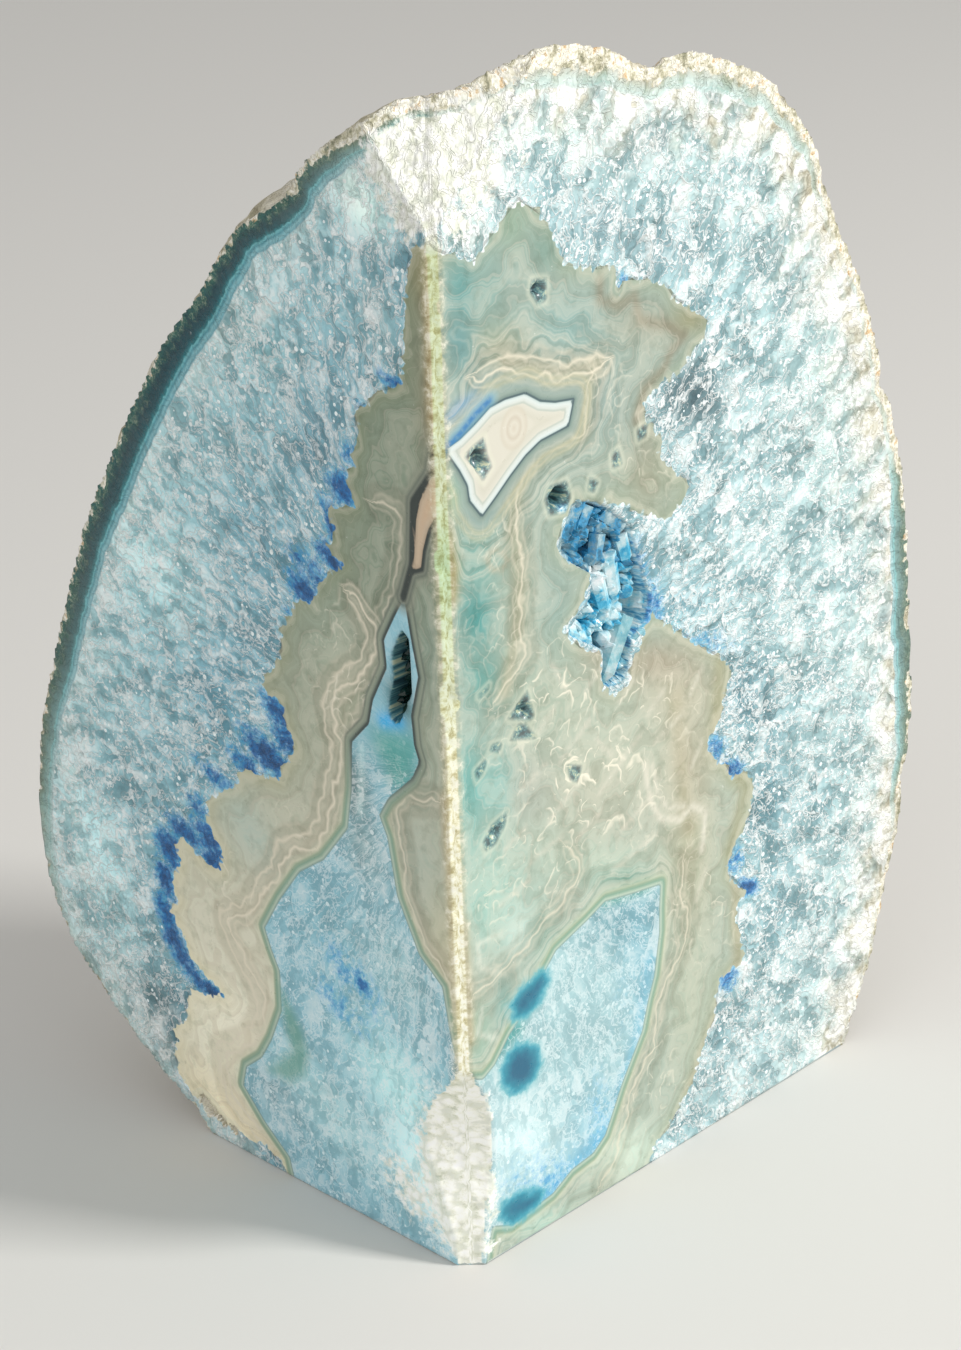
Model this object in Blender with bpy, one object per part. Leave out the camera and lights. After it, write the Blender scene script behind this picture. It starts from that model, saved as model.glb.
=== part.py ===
# Agate geode: one free-standing piece of a dyed agate nodule.
# Two polished saw cuts meet at a right angle in an upright ridge, a third cut is the flat base,
# and the sides, top and back keep the natural lumpy rind. Two small hollows hold quartz crystals.
# Metres, +Z up. The ridge faces -Y. The origin is the bottom centre of the bounding box.

import math
import random

import bmesh
import bpy
import numpy
from mathutils import Euler, Matrix, Vector, noise

mm = 0.001

# Driving dimensions, in millimetres
cutAngle = 45.0
ridgeHeight = 154.6
profileSteps = 56
sectorSteps = 30
rimInset = 0.7
rimDepth = 1.1
rindLump = 2.4
rindLumpSize = 24.0
rindGrain = 0.9
rindGrainSize = 8.0
crystalGap = 0.3
pocketDepth = 5.5
slitDepth = 4.0
facetSlope = 56.0
facetFoot = 137.5
facetRoughness = 0.7

# Rim of each cut face: distance from the ridge, height
leftRim = [
    (0.0, ridgeHeight), (8.0, 151.2), (13.8, 147.9), (20.3, 143.5), (24.7, 137.9), (31.0, 134.5),
    (36.8, 129.0), (40.2, 124.0), (48.3, 115.4), (57.0, 102.9), (66.2, 88.2), (71.8, 76.1),
    (77.7, 61.9), (81.2, 51.0), (83.0, 38.9), (81.8, 27.0), (77.0, 18.5), (68.2, 11.2),
    (60.0, 5.4), (54.5, 2.8), (50.5, 0.0),
]
rightRim = [
    (0.0, ridgeHeight), (5.6, 156.0), (12.7, 156.3), (21.7, 156.2), (30.8, 153.8), (36.8, 150.2),
    (43.0, 151.1), (49.3, 149.1), (58.5, 144.7), (63.3, 140.0), (67.8, 134.5), (71.4, 125.3),
    (77.7, 113.2), (82.9, 99.5), (87.4, 84.0), (89.2, 68.0), (90.4, 50.0), (89.3, 35.2),
    (85.6, 22.4), (81.5, 9.0), (76.5, 0.0),
]
# Middle of the natural back, seen from the side: distance behind the ridge, height
backRim = [
    (0.0, ridgeHeight), (9.0, 152.4), (19.0, 148.6), (33.0, 139.5), (48.0, 125.0), (61.0, 106.5),
    (71.0, 86.0), (76.5, 65.0), (78.0, 46.0), (76.0, 27.0), (70.0, 11.0), (62.0, 0.0),
]

# Wear of the ridge: height, reach on the left face, reach on the right face
ridgeWear = [
    (-4.0, 2.4, 2.2), (4.0, 3.0, 2.6), (9.5, 4.6, 3.6), (14.5, 6.8, 4.6), (18.0, 8.0, 4.8),
    (22.0, 7.2, 4.6), (26.0, 3.4, 3.2), (29.0, 1.2, 1.7), (40.0, 1.1, 1.7), (54.0, 1.1, 1.5),
    (68.0, 0.9, 1.3), (78.5, 1.0, 1.5), (81.0, 2.1, 2.6), (84.0, 1.0, 1.4), (98.0, 1.4, 1.9),
    (112.0, 1.1, 1.3), (125.0, 0.8, 1.4), (134.0, 0.9, 1.5), (140.0, 1.6, 1.8), (160.0, 1.6, 1.8),
]

# Hollows and pits drawn on a cut face: x from the ridge (left is negative), height
bluePocket = [
    (22.5, 99.7), (26.2, 98.6), (28.7, 96.8), (32.6, 93.3), (34.0, 88.2), (36.0, 82.1), (34.9, 79.1),
    (32.6, 77.8), (31.8, 72.8), (28.7, 72.2), (26.8, 73.6), (27.3, 78.0), (24.6, 79.9), (20.4, 82.6),
    (23.2, 84.8), (25.1, 86.0), (25.4, 89.3), (23.1, 90.9), (19.9, 93.4), (20.4, 96.6),
]
slitHollow = [
    (-6.8, 89.9), (-6.5, 84.0), (-6.3, 80.6), (-7.8, 77.2), (-9.3, 74.6), (-11.0, 75.3), (-10.4, 78.4),
    (-9.5, 81.2), (-9.9, 84.2), (-8.6, 86.8),
]
pits = [
    ("square_pit", "right", 2.6, [(17.9, 102.5), (20.3, 102.6), (21.4, 101.0), (20.8, 99.1), (18.0, 99.4)]),
    ("rhomb_pit", "right", 1.6, [(4.3, 111.2), (7.2, 111.7), (8.2, 108.8), (6.8, 107.2), (5.3, 109.0)]),
    ("upper_pit", "right", 1.4, [(15.7, 129.1), (18.3, 128.6), (17.8, 126.2), (16.0, 126.8)]),
    ("edge_pit", "right", 1.2, [(34.2, 105.9), (35.6, 106.1), (35.1, 104.2), (33.6, 104.3)]),
    ("three_sided_pit", "right", 1.5, [(10.2, 75.1), (12.7, 77.6), (14.2, 74.7), (13.6, 73.6)]),
    ("shallow_pit", "right", 0.8, [(10.0, 72.2), (11.4, 73.7), (14.5, 70.9)]),
    ("leaf_pit", "right", 1.5, [(5.0, 59.5), (5.6, 60.9), (8.3, 62.5), (8.9, 61.6), (7.4, 59.9)]),
    ("narrow_pit", "right", 1.0, [(3.7, 69.8), (5.2, 71.8), (6.0, 71.4), (5.4, 70.0)]),
    ("small_pit", "right", 1.1, [(20.1, 65.1), (22.0, 64.9), (22.7, 62.7), (21.1, 62.6)]),
    ("base_groove", "left", 1.1, [
        (-56.8, 7.6), (-52.4, 3.8), (-46.6, 1.8), (-41.0, 0.9), (-41.6, 2.2), (-47.4, 3.6), (-53.2, 6.2),
    ]),
]

# Bites out of the rim where the skin has flaked off: side, distance from the ridge, height, radius
rimFlakes = [
    ("right", 90.6, 101.0, 9.5), ("right", 97.0, 35.5, 9.5), ("right", 89.0, 6.5, 8.5),
    ("right", 41.0, 159.5, 6.0), ("left", 37.0, 141.5, 9.0), ("left", 66.5, 1.0, 8.0),
]

sides = {"left": -1.0, "right": 1.0}


# Scene set-up

def removeEverything():
    for item in list(bpy.data.objects):
        bpy.data.objects.remove(item, do_unlink=True)


def makeCollection(name):
    group = bpy.data.collections.new(name)
    bpy.context.scene.collection.children.link(group)
    return group


def makeMaterial(name, colour, roughness):
    material = bpy.data.materials.new(name)
    material.use_nodes = True
    shader = material.node_tree.nodes["Principled BSDF"]
    shader.inputs["Base Color"].default_value = (*colour, 1.0)
    shader.inputs["Roughness"].default_value = roughness
    shader.inputs["Metallic"].default_value = 0.0
    return material


def makeObject(name, bm, group, parent):
    bmesh.ops.recalc_face_normals(bm, faces=bm.faces)
    mesh = bpy.data.meshes.new(name)
    bm.to_mesh(mesh)
    bm.free()
    item = bpy.data.objects.new(name, mesh)
    item.parent = parent
    group.objects.link(item)
    return item


def makeEmpty(name, group, location, rotation, parent):
    item = bpy.data.objects.new(name, None)
    item.location = location
    item.rotation_euler = rotation
    item.parent = parent
    group.objects.link(item)
    return item


def markAsTool(item):
    item.hide_render = True
    item.display_type = "WIRE"


def addBoolean(item, tool, operation):
    cut = item.modifiers.new(tool.name, "BOOLEAN")
    cut.operation = operation
    cut.object = tool
    cut.use_self = operation == "INTERSECT"


# Curves and outlines

# Even steps along a Catmull-Rom curve through the points.
def smoothCurve(points, count):
    knots = numpy.array(points, dtype=float)
    before = 2.0 * knots[0] - knots[1]
    after = 2.0 * knots[-1] - knots[-2]
    knots = numpy.vstack([before, knots, after])
    fine = []
    for k in range(1, len(knots) - 2):
        for t in numpy.linspace(0.0, 1.0, 16, endpoint=False):
            a = knots[k - 1]
            b = knots[k]
            c = knots[k + 1]
            d = knots[k + 2]
            straight = 2.0 * b + (c - a) * t
            bend = (2.0 * a - 5.0 * b + 4.0 * c - d) * t * t + (3.0 * b - a - 3.0 * c + d) * t ** 3
            fine.append(0.5 * (straight + bend))
    fine.append(knots[-2])
    fine = numpy.array(fine)
    steps = numpy.linalg.norm(numpy.diff(fine, axis=0), axis=1)
    travelled = numpy.concatenate([[0.0], numpy.cumsum(steps)])
    wanted = numpy.linspace(0.0, travelled[-1], count)
    reach = numpy.interp(wanted, travelled, fine[:, 0])
    height = numpy.interp(wanted, travelled, fine[:, 1])
    return numpy.column_stack([reach, height])


# The outline moved inwards, evenly, whichever way round it runs.
def turnedIn(outline, distance):
    points = [Vector(point) for point in outline]
    area = sum(a.x * b.y - b.x * a.y for a, b in zip(points, points[1:] + points[:1]))
    turn = 1.0 if area > 0.0 else -1.0
    moved = []
    for k, here in enumerate(points):
        back = (here - points[k - 1]).normalized()
        ahead = (points[(k + 1) % len(points)] - here).normalized()
        inward = Vector((-back.y - ahead.y, back.x + ahead.x)) * turn
        inward.normalize()
        lean = max(0.5, inward.dot(Vector((-back.y, back.x)) * turn))
        moved.append(here + inward * (distance / lean))
    return moved


def centreOf(outline):
    total = Vector((0.0, 0.0))
    for point in outline:
        total += Vector(point)
    return total / len(outline)


# The stone

# A rim profile drawn in towards the inside of the stone; its foot stays on the base.
def insetProfile(profile, distance):
    along = numpy.gradient(profile, axis=0)
    along /= numpy.linalg.norm(along, axis=1)[:, None]
    inward = numpy.column_stack([along[:, 1], -along[:, 0]])
    ends = numpy.ones(len(profile))
    ends[0] = 0.0
    inner = profile + inward * distance * ends[:, None]
    inner[-1, 1] = 0.0
    return inner


# A point of the rind, pushed in or out by the lumps and grain of the skin.
def rindPoint(reach, height, angle, freedom):
    direction = Vector((math.sin(angle), math.cos(angle), 0.0))
    place = direction * reach + Vector((0.0, 0.0, height))
    lump = noise.noise(place / rindLumpSize) * rindLump
    grain = noise.noise(place / rindGrainSize + Vector((7.0, 3.0, 5.0))) * rindGrain
    taper = min(1.0, reach / 30.0) * freedom
    shifted = reach + (lump + grain) * taper
    return (direction * shifted + Vector((0.0, 0.0, height))) * mm


# Upright sections of the stone, fanned about the ridge from the left cut to the right cut.
def stoneSections():
    left = smoothCurve(leftRim, profileSteps)
    back = smoothCurve(backRim, profileSteps)
    right = smoothCurve(rightRim, profileSteps)
    limit = math.radians(cutAngle)
    edge = rimDepth / rightRim[15][0]
    sections = [(-limit, insetProfile(left, rimInset), 0.0)]
    for k in range(sectorSteps + 1):
        angle = -limit + edge + (2.0 * limit - 2.0 * edge) * k / sectorSteps
        share = abs(angle) / limit
        rim = left if angle < 0.0 else right
        blend = back + (rim - back) * share ** 1.8
        sections.append((angle, blend, 0.25 + 0.75 * min(1.0, (1.0 - share) * 6.0)))
    sections.append((limit, insetProfile(right, rimInset), 0.0))
    return sections


def stoneMesh():
    bm = bmesh.new()
    top = bm.verts.new((0.0, 0.0, ridgeHeight * mm))
    foot = bm.verts.new((0.0, 0.0, 0.0))
    rings = []
    for angle, profile, freedom in stoneSections():
        ring = [top]
        for reach, height in profile[1:]:
            ring.append(bm.verts.new(rindPoint(reach, height, angle, freedom)))
        rings.append(ring)
    for ring, following in zip(rings, rings[1:]):
        bm.faces.new((top, ring[1], following[1]))
        for k in range(1, profileSteps - 1):
            bm.faces.new((ring[k], ring[k + 1], following[k + 1], following[k]))
    bm.faces.new([foot] + rings[0])
    bm.faces.new([foot] + rings[-1])
    bm.faces.new([foot] + [ring[-1] for ring in rings])
    return bm


# The shapes that are missing from the stone

# A hole with the given outline, sunk from just outside a cut face and narrowing downwards.
def hollowMesh(outline, above, depth, narrowing):
    middle = centreOf(outline)
    bm = bmesh.new()
    mouth = [bm.verts.new((x * mm, y * mm, above * mm)) for x, y in outline]
    lid = bm.faces.new(mouth)
    sunk = bmesh.ops.extrude_face_region(bm, geom=[lid])
    floor = [item for item in sunk["geom"] if isinstance(item, bmesh.types.BMVert)]
    for corner in floor:
        offset = Vector((corner.co.x, corner.co.y)) / mm - middle
        narrowed = middle + offset * narrowing
        corner.co = Vector((narrowed.x, narrowed.y, -depth)) * mm
    return bm


# Everything outside the ground-off ridge, from contact line to contact line.
def ridgeWearMesh():
    slope = math.radians(cutAngle)
    leftWay = Vector((-math.sin(slope), math.cos(slope), 0.0))
    rightWay = Vector((math.sin(slope), math.cos(slope), 0.0))
    bm = bmesh.new()
    loops = []
    heights = numpy.arange(ridgeWear[0][0], ridgeWear[-1][0], 3.0)
    rows = numpy.array(ridgeWear)
    for height in heights:
        jitter = 0.25 * noise.noise(Vector((0.0, 0.0, height * 0.37)))
        reachLeft = numpy.interp(height, rows[:, 0], rows[:, 1]) + jitter
        reachRight = numpy.interp(height, rows[:, 0], rows[:, 2]) - jitter
        touchLeft = leftWay * reachLeft
        touchRight = rightWay * reachRight
        across = (touchRight - touchLeft).normalized()
        corners = [touchLeft - across, touchRight + across]
        corners.append(corners[1] + Vector((2.0, -12.0, 0.0)))
        corners.append(corners[0] + Vector((-2.0, -12.0, 0.0)))
        lift = Vector((0.0, 0.0, height))
        loops.append([bm.verts.new((corner + lift) * mm) for corner in corners])
    for lower, upper in zip(loops, loops[1:]):
        for k in range(4):
            following = (k + 1) % 4
            bm.faces.new((lower[k], lower[following], upper[following], upper[k]))
    bm.faces.new(loops[0])
    bm.faces.new(loops[-1])
    return bm


# A slab whose lower side is broken stone.
def brokenSlabMesh(width, length, thickness, cells, roughness):
    bm = bmesh.new()
    bmesh.ops.create_grid(bm, x_segments=cells, y_segments=cells, size=0.5)
    for corner in bm.verts:
        place = Vector((corner.co.x * width, corner.co.y * length, 0.0))
        place.z = roughness * noise.noise(place * 0.31)
        corner.co = place * mm
    lifted = bmesh.ops.extrude_face_region(bm, geom=list(bm.faces))
    for item in lifted["geom"]:
        if isinstance(item, bmesh.types.BMVert):
            item.co.z = thickness * mm
    return bm


def flakeMesh(radius):
    bm = bmesh.new()
    bmesh.ops.create_icosphere(bm, subdivisions=2, radius=radius * mm)
    for corner in bm.verts:
        corner.co *= 1.0 + 0.06 * noise.noise(corner.co / mm * 0.4)
    return bm


# Crystals

# A six-sided quartz prism with a pointed end.
def addCrystal(bm, foot, direction, radius, length):
    shaft = bmesh.ops.create_cone(
        bm, cap_ends=True, segments=6, radius1=radius, radius2=radius * 0.85, depth=length
    )
    corners = shaft["verts"]
    faces = {face for corner in corners for face in corner.link_faces}
    cap = max(faces, key=lambda face: face.calc_center_median().z)
    tip = bmesh.ops.poke(bm, faces=[cap], offset=radius * 1.25)
    corners = corners + tip["verts"]
    turn = Vector(direction).to_track_quat("Z", "Y").to_matrix().to_4x4()
    move = Matrix.Translation(foot) @ turn @ Matrix.Translation((0.0, 0.0, length / 2.0))
    bmesh.ops.transform(bm, matrix=move, verts=corners)


def insideOutline(outline, x, y):
    inside = False
    for (ax, ay), (bx, by) in zip(outline, outline[1:] + outline[:1]):
        if (ay > y) != (by > y) and x < (bx - ax) * (y - ay) / (by - ay) + ax:
            inside = not inside
    return inside


# Crystals crowded together on the floor of a hollow.
def druseMesh(outline, depth, spacing, radii, lengths, seed):
    chance = random.Random(seed)
    bm = bmesh.new()
    xs = [point[0] for point in outline]
    ys = [point[1] for point in outline]
    middle = Vector(((min(xs) + max(xs)) / 2.0, (min(ys) + max(ys)) / 2.0, -depth))
    bmesh.ops.create_cube(bm, size=1.0)
    for corner in bm.verts:
        corner.co.x = (middle.x + corner.co.x * (max(xs) - min(xs) + 4.0)) * mm
        corner.co.y = (middle.y + corner.co.y * (max(ys) - min(ys) + 4.0)) * mm
        corner.co.z = (middle.z + corner.co.z * 2.4) * mm
    rows = int((max(ys) - min(ys)) / spacing) + 1
    columns = int((max(xs) - min(xs)) / spacing) + 1
    for row in range(rows):
        for column in range(columns):
            x = min(xs) + (column + 0.5 * (row % 2) + chance.uniform(-0.2, 0.2)) * spacing
            y = min(ys) + (row + chance.uniform(-0.2, 0.2)) * spacing
            if not insideOutline(outline, x, y):
                continue
            lean = (chance.uniform(-0.22, 0.22), chance.uniform(-0.22, 0.22), 1.0)
            foot = Vector((x, y, 0.5 - depth)) * mm
            addCrystal(bm, foot, lean, chance.uniform(*radii) * mm, chance.uniform(*lengths) * mm)
    return bm


# Crystals that fill a hollow, clear of its walls and sawn off just below the cut face.
def makeCrust(name, outline, depth, narrowing, druse, material, group, tools, frame):
    inner = turnedIn(outline, crystalGap)
    crust = makeObject(name, hollowMesh(inner, -crystalGap, depth - crystalGap, narrowing), group, frame)
    crust.data.materials.append(material)
    grown = makeObject(name + "_grown", druse, tools, frame)
    markAsTool(grown)
    addBoolean(crust, grown, "INTERSECT")
    return crust


# Assembly

def addFaceCuts(stone, tools, frames):
    hollows = [
        ("blue_pocket", "right", pocketDepth, bluePocket, 0.86),
        ("slit_hollow", "left", slitDepth, slitHollow, 0.86),
    ]
    for name, side, depth, outline in pits:
        hollows.append((name, side, depth, outline, 0.55))
    for name, side, depth, outline, narrowing in hollows:
        tool = makeObject(name, hollowMesh(outline, 1.0, depth, narrowing), tools, frames[side])
        markAsTool(tool)
        addBoolean(stone, tool, "DIFFERENCE")


def addRimFlakes(stone, tools, frames):
    for count, (side, reach, height, radius) in enumerate(rimFlakes):
        tool = makeObject("rim_flake_%d" % count, flakeMesh(radius), tools, frames[side])
        tool.location = Vector((sides[side] * reach, height, 0.0)) * mm
        markAsTool(tool)
        addBoolean(stone, tool, "DIFFERENCE")


def addRidgeCuts(stone, tools, base):
    wear = makeObject("ridge_wear", ridgeWearMesh(), tools, base)
    markAsTool(wear)
    addBoolean(stone, wear, "DIFFERENCE")
    facet = makeObject("top_facet", brokenSlabMesh(60.0, 60.0, 18.0, 17, facetRoughness), tools, base)
    facet.location = Vector((0.0, 0.0, facetFoot)) * mm
    facet.rotation_euler = (math.radians(facetSlope), 0.0, math.radians(3.0))
    markAsTool(facet)
    addBoolean(stone, facet, "DIFFERENCE")


def build():
    removeEverything()
    group = makeCollection("agate_geode")
    tools = makeCollection("agate_geode_cutters")
    stoneShape = stoneMesh()
    xs = [corner.co.x for corner in stoneShape.verts]
    ys = [corner.co.y for corner in stoneShape.verts]
    wornFront = min(min(row[1:]) for row in ridgeWear) * math.cos(math.radians(cutAngle)) * mm
    middle = Vector(((min(xs) + max(xs)) / 2.0, (wornFront + max(ys)) / 2.0, 0.0))
    base = makeEmpty("ridge_foot", group, -middle, Euler(), None)
    frames = {}
    for side, sign in sides.items():
        turn = Euler((math.radians(90.0), 0.0, sign * math.radians(cutAngle)))
        frames[side] = makeEmpty(side + "_cut_face", group, Vector(), turn, base)
    stone = makeObject("geode", stoneShape, group, base)
    stone.data.materials.append(makeMaterial("agate", (0.46, 0.47, 0.38), 0.3))
    addRidgeCuts(stone, tools, base)
    addRimFlakes(stone, tools, frames)
    addFaceCuts(stone, tools, frames)
    blueQuartz = makeMaterial("blue quartz", (0.07, 0.32, 0.60), 0.15)
    blueDruse = druseMesh(bluePocket, pocketDepth, 2.6, (0.9, 1.7), (1.5, 4.2), 5)
    lying = Vector((27.9, 80.5, -2.6)) * mm
    addCrystal(blueDruse, lying, (0.30, -1.0, 0.12), 1.5 * mm, 6.0 * mm)
    makeCrust(
        "blue_pocket_crystals", bluePocket, pocketDepth, 0.86, blueDruse, blueQuartz, group, tools,
        frames["right"],
    )
    darkQuartz = makeMaterial("dark green quartz", (0.03, 0.09, 0.08), 0.2)
    slitDruse = druseMesh(slitHollow, slitDepth, 1.5, (0.5, 0.85), (0.8, 2.0), 9)
    makeCrust(
        "slit_crystals", slitHollow, slitDepth, 0.86, slitDruse, darkQuartz, group, tools,
        frames["left"],
    )


build()
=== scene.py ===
import math

import bpy
import numpy
from mathutils import Matrix, Vector, kdtree, noise


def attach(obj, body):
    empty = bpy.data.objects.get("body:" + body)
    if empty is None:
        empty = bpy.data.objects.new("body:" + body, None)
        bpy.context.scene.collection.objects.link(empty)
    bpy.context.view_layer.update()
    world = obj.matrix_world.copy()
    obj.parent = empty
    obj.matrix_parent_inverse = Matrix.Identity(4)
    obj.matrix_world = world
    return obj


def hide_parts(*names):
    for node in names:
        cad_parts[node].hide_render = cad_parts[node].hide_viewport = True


mm = 0.001

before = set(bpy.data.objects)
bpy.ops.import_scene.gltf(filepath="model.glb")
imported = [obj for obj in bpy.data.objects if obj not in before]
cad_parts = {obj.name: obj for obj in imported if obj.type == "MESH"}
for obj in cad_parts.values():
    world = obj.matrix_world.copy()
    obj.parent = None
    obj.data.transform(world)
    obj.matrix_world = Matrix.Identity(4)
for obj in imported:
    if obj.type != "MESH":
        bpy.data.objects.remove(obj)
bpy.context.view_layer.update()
print("frame loaded")

# The photo is 961 by 1350 pixels. The marks below are pixels of it, put on the stone through this camera.

cameraView = {
    "photoWidth": 961.0,
    "photoHeight": 1350.0,
    "focalPixels": 3400.0,
    "distance": 400.0,  # millimetres from the middle of the stone
    "turn": 0.2,
    "rise": 24.8,
    "roll": -2.0,
    "aim": (3.9, 0.0, 84.4),  # millimetres from the foot of the ridge
}


# Where the stone's ridge stands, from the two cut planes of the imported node

def findRidgeFoot(node):
    points = numpy.empty(len(node.data.vertices) * 3)
    node.data.vertices.foreach_get("co", points)
    points = points.reshape(-1, 3) / mm
    behindLeft = (points[:, 0] + points[:, 1]).min() / math.sqrt(2.0)
    behindRight = (points[:, 1] - points[:, 0]).min() / math.sqrt(2.0)
    x = (behindLeft - behindRight) / math.sqrt(2.0)
    y = (behindLeft + behindRight) / math.sqrt(2.0)
    return numpy.array([x, y, 0.0])


ridgeFoot = findRidgeFoot(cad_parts["geode"])


def cameraPlace(view):
    turn = math.radians(view["turn"])
    rise = math.radians(view["rise"])
    roll = math.radians(view["roll"])
    level = math.cos(rise)
    back = numpy.array([math.sin(turn) * level, -math.cos(turn) * level, math.sin(rise)])
    across = numpy.cross([0.0, 0.0, 1.0], back)
    across /= numpy.linalg.norm(across)
    up = numpy.cross(back, across)
    rolledAcross = math.cos(roll) * across + math.sin(roll) * up
    rolledUp = math.cos(roll) * up - math.sin(roll) * across
    place = ridgeFoot + numpy.array(view["aim"]) + back * view["distance"]
    return place, rolledAcross, rolledUp, back


def makeCamera(view):
    place, across, up, back = cameraPlace(view)
    lens = bpy.data.cameras.new("photo_camera")
    lens.sensor_width = 36.0
    lens.lens = view["focalPixels"] / view["photoHeight"] * lens.sensor_width
    lens.clip_start = 0.01
    camera = bpy.data.objects.new("photo_camera", lens)
    turned = Matrix((across, up, back)).transposed()
    camera.matrix_world = Matrix.Translation(Vector(place) * mm) @ turned.to_4x4()
    bpy.context.scene.collection.objects.link(camera)
    bpy.context.scene.camera = camera


makeCamera(cameraView)
print("camera placed")


# Pixels of the photo turned into places on a cut face: millimetres from the ridge (left is
# negative) and millimetres up

def onFace(pixels, side):
    view = cameraView
    place, across, up, back = cameraPlace(view)
    pixels = numpy.atleast_2d(numpy.array(pixels, dtype=float))
    x = (pixels[:, 0] - view["photoWidth"] / 2.0) / view["focalPixels"]
    y = (view["photoHeight"] / 2.0 - pixels[:, 1]) / view["focalPixels"]
    rays = x[:, None] * across + y[:, None] * up - back
    outward = numpy.array([side, -1.0, 0.0]) / math.sqrt(2.0)
    reach = -((place - ridgeFoot) @ outward) / (rays @ outward)
    hits = place - ridgeFoot + rays * reach[:, None]
    along = hits @ numpy.array([1.0, side, 0.0]) / math.sqrt(2.0)
    return numpy.column_stack([along, hits[:, 2]])


# Marks on the left cut face, in pixels

leftMarks = {
    "agate": [
        (412, 246), (405, 300), (402, 370), (400, 385), (388, 390), (378, 392), (370, 402), (355, 410),
        (358, 425), (357, 445), (352, 455), (354, 465), (345, 475), (350, 490), (355, 505), (345, 510),
        (330, 505), (328, 515), (335, 530), (335, 540), (325, 545), (343, 565), (325, 575), (318, 590),
        (312, 602), (295, 600), (290, 615), (280, 630), (283, 650), (275, 665), (262, 680), (265, 695),
        (280, 700), (285, 715), (290, 735), (295, 748), (285, 765), (278, 778), (262, 775), (240, 770),
        (237, 785), (225, 790), (215, 795), (208, 805), (207, 822), (215, 835), (222, 850), (220, 868),
        (212, 868), (200, 858), (192, 848), (183, 838), (175, 845), (180, 860), (176, 875), (172, 885),
        (178, 900), (170, 910), (178, 925), (185, 940), (190, 955), (200, 970), (215, 985), (225, 998),
        (190, 990), (188, 1010), (185, 1020), (172, 1028), (178, 1040), (175, 1050), (178, 1062),
        (180, 1075), (190, 1090), (200, 1105), (215, 1118), (230, 1128), (265, 1145), (280, 1160),
        (300, 1190), (490, 1300), (475, 1075), (455, 722), (436, 246),
    ],
    "innerQuartz": [
        (404, 598), (394, 618), (384, 640), (387, 668), (373, 700), (369, 724), (352, 742), (352, 790),
        (348, 829), (324, 860), (300, 872), (280, 900), (265, 928), (272, 950), (280, 971), (282, 1011),
        (272, 1040), (262, 1058), (247, 1067), (244, 1085), (265, 1121), (290, 1157), (300, 1200),
        (490, 1300), (478, 1075), (456, 1060), (450, 1034), (442, 987), (419, 955), (397, 896), (387, 837),
        (379, 815), (388, 798), (412, 778), (419, 762), (414, 745), (411, 715), (418, 677), (411, 640),
    ],
    "seam": [(436, 440), (431, 475), (413, 502), (412, 565), (403, 598)],
    "slit": [
        (403, 612), (395, 640), (389, 655), (392, 680), (387, 700), (385, 722), (396, 730), (404, 712),
        (411, 690), (412, 660), (408, 635),
    ],
    "sliver": [
        (436, 470), (420, 500), (416, 520), (415, 545), (413, 570), (421, 568), (423, 550), (428, 530),
        (436, 516), (446, 512), (446, 468),
    ],
    "greenWedge": [
        (279, 985), (290, 1005), (302, 1030), (308, 1055), (305, 1075), (290, 1082), (268, 1070), (280, 1060),
        (292, 1050), (286, 1030), (282, 1011),
    ],
    # pale growth lines: the long meander, the line beside the ridge, the arcs at the top
    "growthLines": [
        [
            (352, 600), (368, 622), (372, 645), (360, 668), (338, 682), (326, 700), (330, 722), (338, 750),
            (335, 772), (327, 795), (323, 825), (312, 842), (290, 842), (281, 850), (276, 870), (258, 890),
            (248, 908), (225, 916), (228, 936), (243, 962), (255, 985), (262, 1005), (260, 1024), (248, 1042),
            (222, 1050), (224, 1070), (230, 1095), (245, 1118), (270, 1142),
        ],
        [
            (432, 800), (402, 798), (396, 812), (402, 845), (405, 880), (412, 915), (425, 945), (445, 972),
            (455, 1000),
        ],
        [
            (378, 503), (396, 506), (401, 520), (400, 560), (392, 590), (384, 615), (380, 640), (381, 662),
            (368, 690), (362, 715), (345, 735),
        ],
    ],
    "rim": [
        (466, 1266), (380, 1225), (300, 1180), (215, 1135), (175, 1090), (145, 1063), (120, 1018),
        (85, 965), (65, 930), (52, 900), (42, 850), (36, 810), (36, 760), (42, 700), (52, 640), (65, 585),
        (79, 550), (85, 510), (100, 475), (112, 450), (122, 420), (135, 380), (160, 340), (190, 300),
        (205, 265), (232, 235), (260, 208), (280, 200), (303, 158), (340, 130), (375, 110), (400, 98),
        (424, 90),
    ],
}

# Marks on the right cut face, in pixels

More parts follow.
